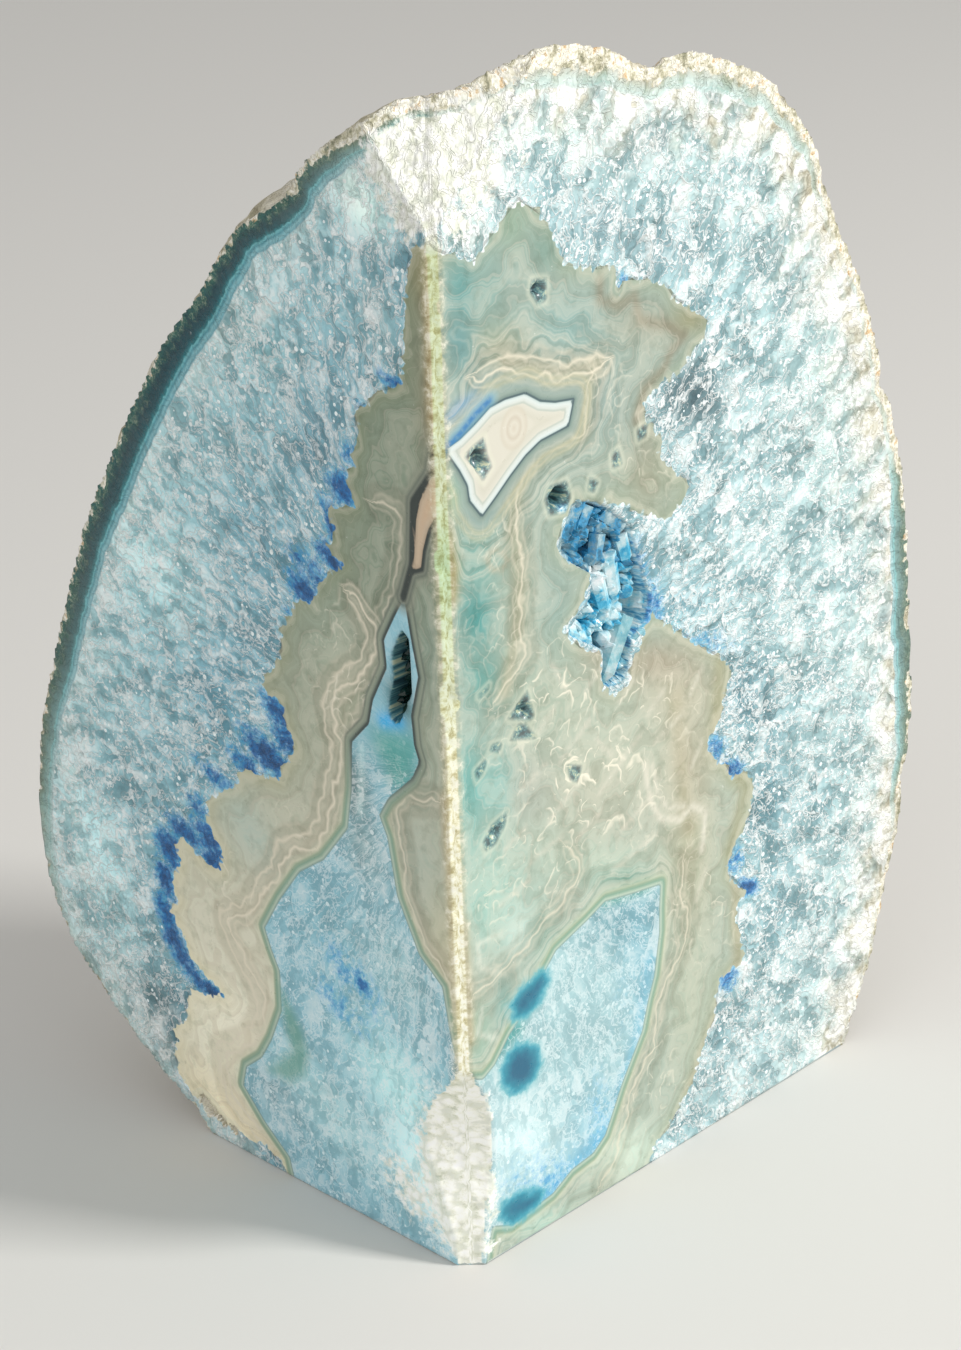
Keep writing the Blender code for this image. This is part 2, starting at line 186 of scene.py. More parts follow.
rightMarks = {
    "agate": [
        (425, 246), (445, 255), (475, 262), (485, 245), (500, 225), (512, 208), (518, 200), (540, 215),
        (555, 240), (565, 265), (600, 270), (615, 265), (618, 295), (625, 280), (648, 280), (665, 285),
        (675, 300), (690, 308), (707, 320), (705, 335), (693, 350), (680, 372), (665, 380), (655, 390),
        (645, 402), (642, 415), (650, 425), (663, 440), (658, 455), (672, 470), (685, 480), (688, 490),
        (680, 505), (665, 520), (640, 512), (625, 505), (608, 500), (597, 505), (575, 498), (560, 530),
        (556, 548), (566, 560), (580, 563), (592, 556), (592, 575), (583, 600), (570, 618), (563, 632),
        (580, 648), (602, 655), (603, 688), (615, 695), (628, 685), (636, 655), (645, 630), (652, 612),
        (660, 620), (690, 640), (705, 650), (728, 662), (730, 675), (725, 690), (722, 710), (718, 725),
        (710, 735), (708, 750), (715, 760), (725, 765), (733, 778), (742, 772), (750, 775), (753, 790),
        (752, 805), (745, 825), (735, 845), (728, 860), (727, 875), (738, 885), (745, 893), (738, 905),
        (736, 925), (742, 945), (745, 960), (730, 970), (720, 980), (716, 995), (715, 1015), (705, 1040),
        (700, 1055), (695, 1075), (685, 1095), (675, 1115), (665, 1130), (655, 1145), (650, 1157),
        (640, 1200), (440, 1330), (440, 1075), (425, 722), (405, 246),
    ],
    "innerQuartz": [
        (483, 1080), (495, 1065), (510, 1034), (523, 1015), (547, 968), (556, 951), (587, 921),
        (605, 902), (636, 893), (660, 885), (659, 909), (659, 933), (654, 976), (648, 1000), (642, 1031),
        (630, 1062), (621, 1086), (611, 1117), (605, 1135), (593, 1153), (572, 1169), (553, 1193),
        (532, 1209), (513, 1224), (492, 1226), (480, 1300), (440, 1300), (440, 1082),
    ],
    "whitePatch": [
        (446, 450), (460, 440), (475, 425), (490, 408), (505, 400), (525, 394), (540, 402), (555, 403),
        (573, 400), (568, 425), (540, 440), (525, 455), (510, 475), (495, 497), (482, 515), (470, 500),
        (468, 485), (460, 470),
    ],
    "pocket": [
        (575, 500), (597, 505), (608, 500), (632, 512), (645, 540), (650, 570), (655, 600), (645, 635),
        (632, 655), (630, 688), (612, 693), (602, 685), (604, 655), (580, 648), (563, 632), (583, 600),
        (592, 575), (592, 556), (566, 560), (556, 548),
    ],
    "blueStroke": [(447, 447), (460, 434), (474, 416), (490, 400)],
    # pools of teal dye in the inner quartz and along the base
    "pools": [
        [
            (507, 1054), (516, 1043), (530, 1040), (541, 1048), (542, 1064), (536, 1080), (524, 1092),
            (510, 1096), (501, 1088), (500, 1070),
        ],
        [(548, 968), (551, 980), (541, 1002), (526, 1019), (513, 1022), (509, 1006), (520, 988), (535, 974)],
        [(497, 1218), (503, 1202), (520, 1190), (546, 1188), (540, 1206), (524, 1220), (508, 1226)],
    ],
    # pale growth lines: round the white patch and down, over the inner quartz, the loops
    "growthLines": [
        [
            (600, 362), (560, 372), (530, 366), (505, 362), (480, 372),
        ],
        [
            (592, 372), (586, 400), (583, 432), (560, 440), (540, 452), (524, 475), (515, 505), (519, 540),
            (524, 580), (520, 620), (526, 655), (508, 680), (496, 700),
        ],
        [
            (568, 848), (576, 858), (577, 878), (566, 900), (545, 922), (528, 945), (512, 962), (494, 978),
            (478, 992),
        ],
        [
            (684, 864), (682, 895), (688, 925), (679, 956), (664, 986), (656, 1017), (654, 1047), (636, 1078),
            (626, 1114), (618, 1149), (603, 1180),
        ],
    ],
    "pits": [
        [(549, 487), (566, 481), (571, 497), (566, 512), (549, 515), (545, 500)],
        [(484, 437), (487, 455), (492, 466), (483, 481), (476, 468), (464, 456), (472, 447)],
        [(532, 280), (546, 279), (546, 300), (538, 304), (530, 292)],
        [(637, 430), (648, 422), (646, 436), (638, 441)],
        [(590, 478), (598, 482), (594, 492), (588, 490)],
        [(612, 455), (618, 449), (622, 464), (613, 468)],
        [(527, 691), (534, 715), (532, 720), (508, 719)],
        [(518, 725), (525, 724), (537, 738), (510, 740)],
        [(492, 745), (502, 742), (499, 752), (490, 751)],
        [(475, 771), (487, 758), (485, 768), (477, 781)],
        [(568, 765), (582, 766), (578, 782), (570, 780)],
        [(507, 812), (505, 825), (495, 845), (486, 851), (483, 842), (492, 825)],
        [(478, 696), (489, 685), (488, 689), (480, 698)],
    ],
    "rim": [
        (466, 1266), (535, 1246), (600, 1208), (660, 1158), (720, 1122), (775, 1085), (840, 1045),
        (858, 1010), (875, 960), (885, 920), (890, 880), (900, 830), (908, 790), (913, 760), (916, 700),
        (915, 650), (912, 600), (912, 550), (907, 500), (905, 460), (898, 430), (895, 400), (888, 370),
        (880, 340), (868, 310), (856, 255), (843, 220), (832, 180), (818, 135), (795, 100), (770, 70),
        (755, 60), (720, 50), (685, 44), (670, 50), (650, 63), (640, 58), (615, 42), (590, 40), (560, 38),
        (530, 53), (505, 53), (480, 60), (460, 68), (440, 80), (424, 90),
    ],
}

# Soft stains of dye in the quartz: x, y, half width, half height in pixels, strength

blueStains = {
    -1: [
        (393, 382, 12, 7, 0.7), (362, 408, 9, 7, 0.35), (350, 455, 8, 12, 0.5), (342, 488, 11, 14, 1.0),
        (328, 505, 10, 8, 0.6), (336, 528, 9, 14, 0.9), (326, 552, 9, 10, 0.8), (334, 563, 8, 8, 1.0),
        (310, 570, 18, 16, 0.6), (303, 590, 12, 12, 1.0), (288, 610, 6, 10, 0.35), (278, 712, 12, 12, 0.9),
        (286, 738, 10, 14, 0.9), (268, 756, 20, 13, 1.0), (246, 766, 14, 9, 0.8), (222, 782, 22, 10, 0.6),
        (200, 812, 10, 14, 0.6), (208, 838, 12, 14, 0.9), (212, 860, 9, 10, 1.0), (186, 832, 16, 10, 0.9),
        (170, 850, 9, 16, 0.9), (166, 880, 7, 16, 0.9), (166, 912, 8, 14, 0.8), (174, 938, 8, 14, 0.9),
        (184, 960, 9, 12, 0.9), (198, 980, 11, 9, 0.9), (212, 992, 12, 7, 1.0), (362, 985, 7, 7, 0.9),
        (352, 975, 26, 20, 0.35), (340, 1005, 30, 18, 0.3), (370, 1000, 26, 30, 0.2),
    ],
    1: [
        (716, 750, 9, 12, 0.55), (733, 768, 9, 8, 0.8), (735, 860, 8, 12, 0.5), (748, 887, 8, 7, 1.0),
        (726, 976, 9, 12, 0.7), (640, 560, 10, 24, 0.3), (650, 606, 10, 20, 0.6), (622, 285, 6, 12, 0.5),
        (640, 590, 22, 36, 0.25), (700, 645, 40, 18, 0.25), (620, 1000, 20, 110, 0.12),
        (560, 1190, 50, 40, 0.3), (600, 1120, 12, 50, 0.25), (675, 640, 16, 10, 0.4),
    ],
}


# Distances on a cut face, in millimetres

def segmentDistance(points, line, closed):
    line = numpy.array(line, dtype=float)
    ends = numpy.roll(line, -1, axis=0)
    if not closed:
        line = line[:-1]
        ends = ends[:-1]
    best = numpy.full(len(points), 1e9)
    for start, end in zip(line, ends):
        way = end - start
        share = ((points - start) @ way) / max(1e-9, way @ way)
        nearest = start + numpy.clip(share, 0.0, 1.0)[:, None] * way
        best = numpy.minimum(best, ((points - nearest) ** 2).sum(axis=1))
    return numpy.sqrt(best)


def sideDistance(points, line):  # positive on the left of a line that is open at its ends
    best = numpy.full(len(points), 1e9)
    side = numpy.ones(len(points))
    for start, end in zip(line[:-1], line[1:]):
        way = end - start
        share = numpy.clip(((points - start) @ way) / max(1e-9, way @ way), 0.0, 1.0)
        offset = points - start - share[:, None] * way
        distance = (offset ** 2).sum(axis=1)
        nearer = distance < best
        best = numpy.where(nearer, distance, best)
        side = numpy.where(nearer, numpy.sign(way[0] * offset[:, 1] - way[1] * offset[:, 0]), side)
    return numpy.sqrt(best) * side


def insideOutline(points, outline):
    inside = numpy.zeros(len(points), dtype=bool)
    for (ax, ay), (bx, by) in zip(outline, numpy.roll(outline, -1, axis=0)):
        if ay == by:
            continue
        crosses = (ay > points[:, 1]) != (by > points[:, 1])
        inside ^= crosses & (points[:, 0] < (bx - ax) * (points[:, 1] - ay) / (by - ay) + ax)
    return inside


def edgeDistance(points, outline):  # positive inside the outline
    distance = segmentDistance(points, outline, True)
    return numpy.where(insideOutline(points, outline), distance, -distance)


# Shape of the stone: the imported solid, made dense, with the skin, the broken quartz and the chipped
# rim worked into it

stoneShape = {
    "voxel": 0.62,  # millimetres, like every length here
    "rindKeep": 0.22,  # share of the points kept on the natural back and the base
    "flatDepth": 0.2,  # a point nearer than this to its cut plane lies on the cut
    "hollowDepth": 8.0,
    "hollowSpread": 2.2,  # how far past their outlines the pocket and the pits are looked for
    "slitSpread": 1.5,
    "ridgeReach": 4.5,  # half width of the worn ridge, and of its broken foot
    "footReach": 9.0,
    "footHeight": 32.0,
    "topHeight": 130.0,
    "lumpSize": 9.0,
    "lumpDepth": 0.5,
    "pitSize": 3.2,
    "pitDepth": 0.55,
    "grainSize": 1.6,
    "grainDepth": 0.22,
    "brokenSize": 1.7,
    "brokenGrain": 0.9,
    "brokenDepth": 0.45,
    "chipReach": 1.6,
    "chipSize": 2.2,
    "chipDepth": 0.5,
}


def deselectAll():
    bpy.ops.object.select_all(action="DESELECT")


def makeActive(item):
    deselectAll()
    item.select_set(True)
    bpy.context.view_layer.objects.active = item


def copyNode(name, newName):
    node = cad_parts[name]
    item = bpy.data.objects.new(newName, node.data.copy())
    item.data.materials.clear()
    bpy.context.scene.collection.objects.link(item)
    makeActive(item)
    bpy.ops.object.mode_set(mode="EDIT")
    bpy.ops.mesh.select_all(action="SELECT")
    bpy.ops.mesh.remove_doubles(threshold=0.00001)
    bpy.ops.object.mode_set(mode="OBJECT")
    return item


def readPoints(item):
    count = len(item.data.vertices)
    points = numpy.empty(count * 3)
    normals = numpy.empty(count * 3)
    item.data.vertices.foreach_get("co", points)
    item.data.vertex_normals.foreach_get("vector", normals)
    return points.reshape(-1, 3) / mm - ridgeFoot, normals.reshape(-1, 3)


def writePoints(item, points):
    item.data.vertices.foreach_set("co", ((points + ridgeFoot) * mm).ravel())
    item.data.update()


# Which part of the stone each point belongs to
def sortPoints(points, normals):
    shape = stoneShape
    behindLeft = (points[:, 0] + points[:, 1]) / math.sqrt(2.0)
    behindRight = (points[:, 1] - points[:, 0]) / math.sqrt(2.0)
    height = points[:, 2]
    onLeft = behindLeft < behindRight
    along = numpy.where(onLeft, -behindRight, behindLeft)
    depth = numpy.where(onLeft, behindLeft, behindRight)
    place = numpy.column_stack([along, height])
    fromRidge = numpy.abs(along)
    flat = depth < shape["flatDepth"]
    base = (height < 0.3) & (normals[:, 2] < -0.5)
    hollow = numpy.zeros(len(points), dtype=bool)
    for outline in [rightMarks["pocket"]] + rightMarks["pits"]:
        hollow |= ~onLeft & (edgeDistance(place, onFace(outline, 1)) > -shape["hollowSpread"])
    hollow |= onLeft & (edgeDistance(place, onFace(leftMarks["slit"], -1)) > -shape["slitSpread"])
    hollow &= (depth > shape["flatDepth"]) & (depth < shape["hollowDepth"]) & (fromRidge > 3.2)
    radial = points[:, :2] / numpy.maximum(1.0, numpy.hypot(points[:, 0], points[:, 1]))[:, None]
    outward = (normals[:, :2] * radial).sum(axis=1)
    high = height > shape["topHeight"]
    atFoot = (height < shape["footHeight"]) & (fromRidge < shape["footReach"])
    towardsRidge = outward < -0.15
    besideRidge = (fromRidge < 20.0) & (depth < 3.0) & (height < shape["topHeight"])
    worn = towardsRidge & ((fromRidge < shape["ridgeReach"]) | high | atFoot) | besideRidge
    worn &= ~flat & ~base & ~hollow
    rind = ~flat & ~base & ~hollow & ~worn
    return {
        "left": onLeft, "along": along, "depth": depth, "place": place, "flat": flat, "base": base,
        "hollow": hollow, "worn": worn, "rind": rind,
    }


def noiseAt(points, size, shift):
    return numpy.array([noise.noise(Vector(p) / size + Vector(shift)) for p in points])


def cellsAt(points, size, shift):  # distance to the nearest cell centre and to the next one
    pairs = [noise.voronoi(Vector(p) / size + Vector(shift))[0][:2] for p in points]
    return numpy.array(pairs)


def rimDistance(points, zones):
    rindPoints = points[zones["rind"]]
    tree = kdtree.KDTree(len(rindPoints))
    for count, point in enumerate(rindPoints):
        tree.insert(point, count)
    tree.balance()
    distance = numpy.full(len(points), 60.0)
    for count in numpy.nonzero(~zones["rind"])[0]:
        distance[count] = tree.find(points[count])[2]
    distance[zones["rind"]] = 0.0
    return distance


def shapeStone(item):
    points, normals = readPoints(item)
    zones = sortPoints(points, normals)
    shape = stoneShape
    for onLeft, across in ((True, 1.0), (False, -1.0)):
        flat = zones["flat"] & (zones["left"] == onLeft)
        turn = numpy.array([across, 1.0, 0.0]) / math.sqrt(2.0)
        points[flat] -= zones["depth"][flat, None] * turn
    print("flat faces trued")

    skin = numpy.nonzero(zones["rind"])[0]
    lumps = noiseAt(points[skin], shape["lumpSize"], (3.0, 1.0, 4.0)) * shape["lumpDepth"]
    cells = cellsAt(points[skin], shape["pitSize"], (1.0, 5.0, 2.0))
    pitting = numpy.clip(0.55 - cells[:, 0], 0.0, 0.5) * 2.0 * shape["pitDepth"]
    fine = noiseAt(points[skin], shape["grainSize"], (9.0, 2.0, 6.0)) * shape["grainDepth"]
    standing = numpy.clip((points[skin, 2] - 0.6) / 4.0, 0.0, 1.0)
    push = (numpy.minimum(0.0, lumps - 0.25) - pitting + fine - 0.15) * standing
    points[skin] += normals[skin] * push[:, None]

    rough = numpy.nonzero(zones["worn"])[0]
    cells = cellsAt(points[rough], shape["brokenSize"], (4.0, 4.0, 1.0))
    grain = noiseAt(points[rough], shape["brokenGrain"], (2.0, 7.0, 3.0)) * 0.15
    cracks = cells[:, 1] - cells[:, 0] < 0.2
    push = (grain - cracks * 0.12 - cells[:, 0] * 0.5) * shape["brokenDepth"]
    points[rough] += normals[rough] * push[:, None]

    distance = rimDistance(points, zones)
    edge = numpy.nonzero(zones["flat"] & (distance < shape["chipReach"]) & (points[:, 2] > 1.5))[0]
    bite = numpy.clip(noiseAt(points[edge], shape["chipSize"], (5.0, 5.0, 5.0)) + 0.35, 0.0, 1.0)
    bite *= (1.0 - distance[edge] / shape["chipReach"]) * shape["chipDepth"]
    points[edge] -= normals[edge] * bite[:, None]
    points[:, 2] = numpy.maximum(0.0, points[:, 2])
    writePoints(item, points)
    print("skin and broken quartz shaped")


def thinBack(item):
    points, normals = readPoints(item)
    zones = sortPoints(points, normals)
    distance = rimDistance(points, zones)
    group = item.vertex_groups.new(name="back")
    behind = numpy.nonzero((zones["rind"] | zones["base"]) & (distance < 50.0))[0]
    group.add([int(k) for k in behind], 1.0, "REPLACE")
    thin = item.modifiers.new("thin_back", "DECIMATE")
    thin.vertex_group = "back"
    share = len(behind) / len(points)
    thin.ratio = 1.0 - share * (1.0 - stoneShape["rindKeep"])
    makeActive(item)
    bpy.ops.object.modifier_apply(modifier=thin.name)


def buildStone():
    item = copyNode("geode", "geode_stone")
    remesh = item.modifiers.new("dense", "REMESH")
    remesh.mode = "VOXEL"
    remesh.voxel_size = stoneShape["voxel"] * mm
    makeActive(item)
    bpy.ops.object.modifier_apply(modifier=remesh.name)
    print("stone made dense:", len(item.data.vertices), "points")
    shapeStone(item)
    thinBack(item)
    bpy.ops.object.mode_set(mode="EDIT")
    bpy.ops.mesh.select_all(action="SELECT")
    bpy.ops.mesh.quads_convert_to_tris()
    bpy.ops.object.mode_set(mode="OBJECT")
    points = readPoints(item)[0]
    points[:, 2] = numpy.maximum(0.0, points[:, 2])
    writePoints(item, points)
    print("stone thinned:", len(item.data.polygons), "triangles")
    return item


# Colour

def colour(code):
    parts = [int(code[k:k + 2], 16) / 255.0 for k in (1, 3, 5)]
    linear = [c / 12.92 if c <= 0.04045 else ((c + 0.055) / 1.055) ** 2.4 for c in parts]
    return (*linear, 1.0)


# What grows where on the cut faces: distances and stains stored on the points of the stone

faceColours = {
    "leftAgateTop": "#7f8a77",
    "leftAgateFoot": "#cfcbb6",
    "rightAgate": "#bcc9b4",
    "leftQuartz": "#8aaab6",
    "leftQuartzPale": "#b4cbce",
    "rightQuartz": "#bdd5d8",
    "rightQuartzPale": "#e2ece8",
    "leftAgateLiftTop": (1.16, 1.24, 1.24),
    "leftAgateLift": (1.36, 1.38, 1.4),
    "rightAgateLiftTop": (0.6, 0.68, 0.75),
    "rightAgateLift": (0.78, 0.82, 0.88),
    "leftQuartzLift": (1.2, 1.46, 1.46),
    "rightQuartzLift": (0.74, 0.88, 0.9),
}

# Soft zones of tint: x, y, half width, half height in pixels, colour, strength
agateTints = {
    -1: [
        (330, 640, 26, 46, "#8f9d8d", 0.5), (250, 832, 26, 34, "#98aca2", 0.7),
        (300, 480, 40, 40, "#938f78", 0.4),
        (424, 280, 14, 44, "#8a7a4c", 0.6), (428, 400, 12, 80, "#8d8266", 0.6),
        (432, 660, 16, 60, "#7f8f80", 0.8),
        (425, 760, 18, 30, "#8f9c8b", 0.6), (425, 870, 26, 60, "#93a295", 0.7),
        (445, 950, 14, 60, "#a8a482", 0.6),
        (390, 600, 10, 120, "#84907f", 0.5), (345, 700, 20, 60, "#b0b29b", 0.6),
        (210, 1095, 22, 30, "#e0d2ae", 0.7),
        (260, 1140, 30, 20, "#dccfb0", 0.7), (232, 1060, 34, 44, "#e6e2ca", 0.8),
        (238, 1118, 24, 26, "#f4e8c8", 0.8), (250, 1050, 26, 40, "#e8e2cc", 0.8),
    ],
    1: [
        (462, 290, 16, 40, "#6fb2a8", 0.9), (462, 345, 16, 30, "#6faaa6", 0.9),
        (490, 290, 16, 50, "#9cbfae", 0.7),
        (512, 225, 18, 24, "#a9c0a0", 0.8), (545, 250, 18, 22, "#8fae98", 0.8),
        (575, 325, 44, 26, "#a4c6b9", 0.9),
        (500, 345, 26, 24, "#b4b694", 0.8), (640, 325, 40, 26, "#b0b197", 0.8),
        (690, 320, 20, 16, "#b3a878", 0.8),
        (600, 400, 40, 40, "#b0bfb0", 0.7), (650, 480, 40, 30, "#bcbd9c", 0.8),
        (505, 380, 34, 10, "#8fb5ad", 0.8),
        (455, 480, 14, 34, "#8fcf9f", 1.0), (487, 517, 24, 10, "#6fa8a6", 0.9),
        (475, 560, 30, 30, "#88c0ae", 0.8),
        (477, 618, 20, 34, "#54aea4", 1.0), (485, 680, 26, 30, "#5cb0a4", 0.9),
        (520, 600, 20, 90, "#c2cdb2", 0.7),
        (556, 610, 16, 46, "#a5bfae", 0.8), (470, 790, 16, 60, "#78c4b8", 0.9),
        (500, 790, 16, 40, "#84cbc0", 0.8),
        (560, 700, 60, 50, "#bfc9ac", 0.6), (620, 750, 60, 50, "#cbd2b8", 0.8),
        (680, 690, 44, 40, "#c9bf9e", 0.7),
        (530, 800, 22, 40, "#b9bfae", 0.7), (560, 850, 50, 40, "#cad8c0", 0.7),
        (605, 862, 50, 22, "#c3d8c0", 0.8),
        (490, 900, 34, 60, "#b2dac6", 0.9), (690, 860, 26, 80, "#c3bf9c", 0.8),
        (690, 1000, 26, 90, "#c4cbae", 0.7),
        (655, 662, 44, 24, "#bfb093", 0.8), (598, 640, 16, 40, "#b9ab90", 0.6),
        (690, 760, 30, 60, "#c6b898", 0.6),
        (600, 800, 60, 50, "#c9c0a2", 0.4), (645, 450, 14, 60, "#bbb091", 0.6),
        (620, 1150, 40, 30, "#eafbe2", 0.9), (520, 935, 16, 30, "#dff5e4", 0.7),
        (540, 1222, 60, 16, "#c3e2cc", 0.9), (630, 880, 34, 10, "#7fae98", 0.9),
        (545, 935, 14, 34, "#a3c9b4", 0.6), (478, 1030, 12, 40, "#a9cbb0", 0.8),
        (505, 1010, 8, 30, "#6fb5ab", 0.6),
    ],
}

quartzTints = {
    -1: [
        # the first tint is partly painted light: white where the top facet's left part would catch the light
        (365, 205, 26, 34, "#f0f4ec", 1.0), (380, 320, 22, 60, "#8ba2a6", 0.8),
        (320, 460, 26, 60, "#7b9aa8", 0.8),
        (270, 560, 34, 60, "#7fa3b2", 0.8), (225, 700, 40, 60, "#76a2b4", 0.8),
        (150, 790, 40, 30, "#7e9ca4", 0.7),
        (158, 1002, 34, 36, "#5f757c", 1.0), (105, 890, 28, 90, "#c8dadc", 0.9),
        (150, 560, 40, 60, "#d0e4e6", 0.9), (250, 330, 24, 40, "#86a9ad", 0.7),
        (88, 835, 26, 50, "#d8eaec", 0.8), (395, 760, 22, 26, "#4a8683", 1.0),
        (400, 700, 14, 20, "#27504e", 1.0), (358, 790, 12, 40, "#5d6f6e", 0.8),
        (365, 850, 26, 40, "#8b9b9e", 0.8),
        (335, 930, 34, 40, "#7fa4b0", 0.8), (400, 970, 34, 40, "#9ab0b4", 0.8),
        (400, 1090, 44, 50, "#c0dcdc", 0.8),
        (330, 1110, 60, 40, "#adc5c8", 0.7), (280, 1100, 24, 26, "#93a4ab", 0.7),
        (430, 1180, 40, 40, "#dcecec", 0.9),
        (300, 640, 10, 40, "#5f7f90", 0.6), (250, 620, 14, 50, "#86aab8", 0.5),
    ],
    1: [
        (560, 130, 60, 30, "#e6efe8", 0.8), (490, 140, 34, 60, "#fffff8", 1.0),
        (470, 205, 24, 26, "#fffff8", 1.0), (620, 160, 30, 24, "#bccac8", 0.7),
        (600, 220, 34, 24, "#a9bcc2", 0.8), (660, 245, 44, 26, "#b0c3c8", 0.8),
        (465, 238, 24, 14, "#93a59c", 0.9),
        (692, 396, 34, 38, "#647d84", 1.0), (665, 500, 14, 20, "#8fb0bc", 0.7),
        (680, 600, 30, 20, "#b2d6e0", 0.7),
        (748, 700, 34, 44, "#86acb6", 0.9), (768, 800, 26, 60, "#8fb6c0", 0.8),
        (780, 900, 40, 50, "#b4d0d6", 0.8), (820, 800, 20, 40, "#a9cad0", 0.6),
        (745, 1055, 50, 40, "#eef8f8", 0.8),
        (850, 400, 44, 80, "#f4f8f0", 0.8), (800, 150, 30, 50, "#dfe6da", 0.6),
        (850, 960, 40, 60, "#f6fbf8", 0.9),
        (720, 1020, 14, 60, "#9db9be", 0.8), (630, 920, 50, 34, "#7fa9b3", 1.0),
        (560, 960, 16, 40, "#c0d8da", 0.8),
        (520, 1150, 40, 50, "#f4ffff", 0.9), (600, 1140, 30, 50, "#a8d4e6", 0.7),
        (640, 960, 16, 70, "#a4cbd8", 0.7),
        (560, 1200, 30, 20, "#8cc4de", 0.6), (610, 590, 40, 60, "#79bcd8", 0.7),
        (660, 630, 30, 14, "#86cfdd", 0.8),
    ],
}

# Narrow strokes of tint: points in pixels, half width in millimetres, colour, strength
agateStrokes = {
    -1: [
        ([(428, 300), (431, 440)], 0.8, "#8a6f45", 0.8),
        ([(446, 800), (458, 980)], 1.0, "#b09768", 0.6),
    ],
    1: [
        ([(446, 424), (462, 408), (478, 400)], 1.2, "#7fb6d8", 0.9),
        ([(452, 455), (462, 478), (474, 506), (484, 518)], 0.7, "#7fb9a6", 0.8),
        ([(600, 362), (560, 372), (530, 366), (505, 362)], 1.0, "#b9b08a", 0.7),
        (
            [
                (592, 372), (586, 400), (583, 432), (545, 446), (520, 480), (512, 520), (520, 580),
                (516, 640), (505, 690),
            ],
            1.4, "#c6c39f", 0.8,
        ),
        (
            [
                (600, 282), (600, 300), (618, 306), (634, 296), (640, 320), (668, 326), (684, 336),
                (672, 350), (664, 368), (645, 388), (636, 420),
            ],
            0.9, "#a48d6a", 0.6,
        ),
        ([(446, 540), (452, 570), (450, 600)], 1.4, "#c9a850", 0.8),
        ([(462, 930), (466, 990), (470, 1040)], 1.2, "#c9b07c", 0.7),
        ([(446, 800), (456, 900)], 1.0, "#dccb94", 0.6),
        ([(660, 884), (600, 900), (560, 940), (530, 985)], 0.9, "#74b39c", 0.7),
        ([(663, 890), (656, 975), (640, 1045), (606, 1135)], 0.45, "#cfe3cc", 0.8),
        ([(676, 700), (684, 800), (690, 830)], 1.6, "#b9aa80", 0.4),
        ([(735, 870), (738, 960), (712, 1030), (690, 1090)], 1.4, "#b5a478", 0.5),
        ([(720, 665), (716, 720), (745, 790), (730, 850)], 1.6, "#b3ab7e", 0.6),
        (
            [(645, 765), (650, 800), (660, 818), (680, 820), (692, 806), (706, 812), (702, 850)], 0.5,
            "#efe8d0", 0.9,
        ),
        ([(652, 765), (658, 794), (668, 808), (684, 806)], 0.4, "#efe8d0", 0.7),
        ([(502, 934), (478, 944), (480, 968), (506, 974)], 0.4, "#e8eed8", 0.8),
        ([(482, 1010), (478, 1034), (494, 1038)], 0.4, "#e8eed8", 0.8),
        (
            [(487, 560), (492, 551), (502, 551), (507, 560), (502, 570), (492, 570), (487, 560)], 0.4,
            "#cdc4a4", 0.8,
        ),
    ],
}

# Cream feather marks over the lower agate of the right face: both ends in pixels
featherMarks = [
    [(560, 762), (590, 720)], [(600, 792), (640, 735)], [(548, 822), (588, 772)], [(620, 832), (652, 796)],
    [(655, 742), (682, 714)], [(520, 792), (546, 764)], [(585, 692), (602, 666)], [(530, 862), (562, 836)],
    [(612, 872), (656, 834)], [(690, 694), (702, 668)], [(664, 690), (648, 714)], [(575, 840), (600, 812)],
    [(505, 850), (525, 828)], [(540, 730), (556, 706)], [(618, 704), (634, 680)], [(500, 905), (530, 880)],
    [(690, 770), (702, 742)], [(696, 900), (706, 870)], [(566, 690), (552, 664)], [(612, 756), (596, 740)],
]
agateStrokes[1] += [(mark, 0.4, "#f3ead2", 0.45) for mark in featherMarks]

quartzStrokes = {
    -1: [
        ([(362, 748), (362, 780), (360, 812)], 0.6, "#d5dedb", 0.35),
        ([(353, 762), (353, 812)], 0.5, "#26403c", 0.35),
        ([(384, 722), (398, 722)], 1.2, "#2a9ad0", 1.0),
        ([(388, 745), (408, 748), (398, 775)], 2.2, "#4f918c", 0.9),
    ],
    1: [
        ([(478, 1074), (498, 1050), (518, 1028)], 1.4, "#5fb3ae", 0.9),
        ([(606, 900), (648, 886)], 1.0, "#6fae9c", 0.8),
        ([(606, 1132), (560, 1180), (520, 1212)], 1.6, "#79bfe0", 0.7),
        ([(650, 960), (636, 1040), (606, 1130)], 1.2, "#86c4dc", 0.6),
    ],
}

# Where the healed cracks show as pale crescents: x, y, half width, half height, strength
laceZones = {
    -1: [(345, 680, 30, 60, 0.8), (330, 620, 30, 30, 0.5), (225, 880, 34, 40, 0.6), (300, 830, 30, 30, 0.4)],
    1: [
        (590, 780, 80, 70, 1.0), (560, 690, 60, 50, 0.8), (540, 860, 50, 50, 0.7), (500, 620, 30, 60, 0.4),
        (650, 700, 50, 50, 0.7), (700, 900, 40, 60, 0.6), (650, 1080, 40, 60, 0.5), (600, 400, 70, 60, 0.35),
        (480, 900, 30, 60, 0.6), (640, 470, 40, 30, 0.4), (500, 540, 30, 30, 0.5),
    ],
}
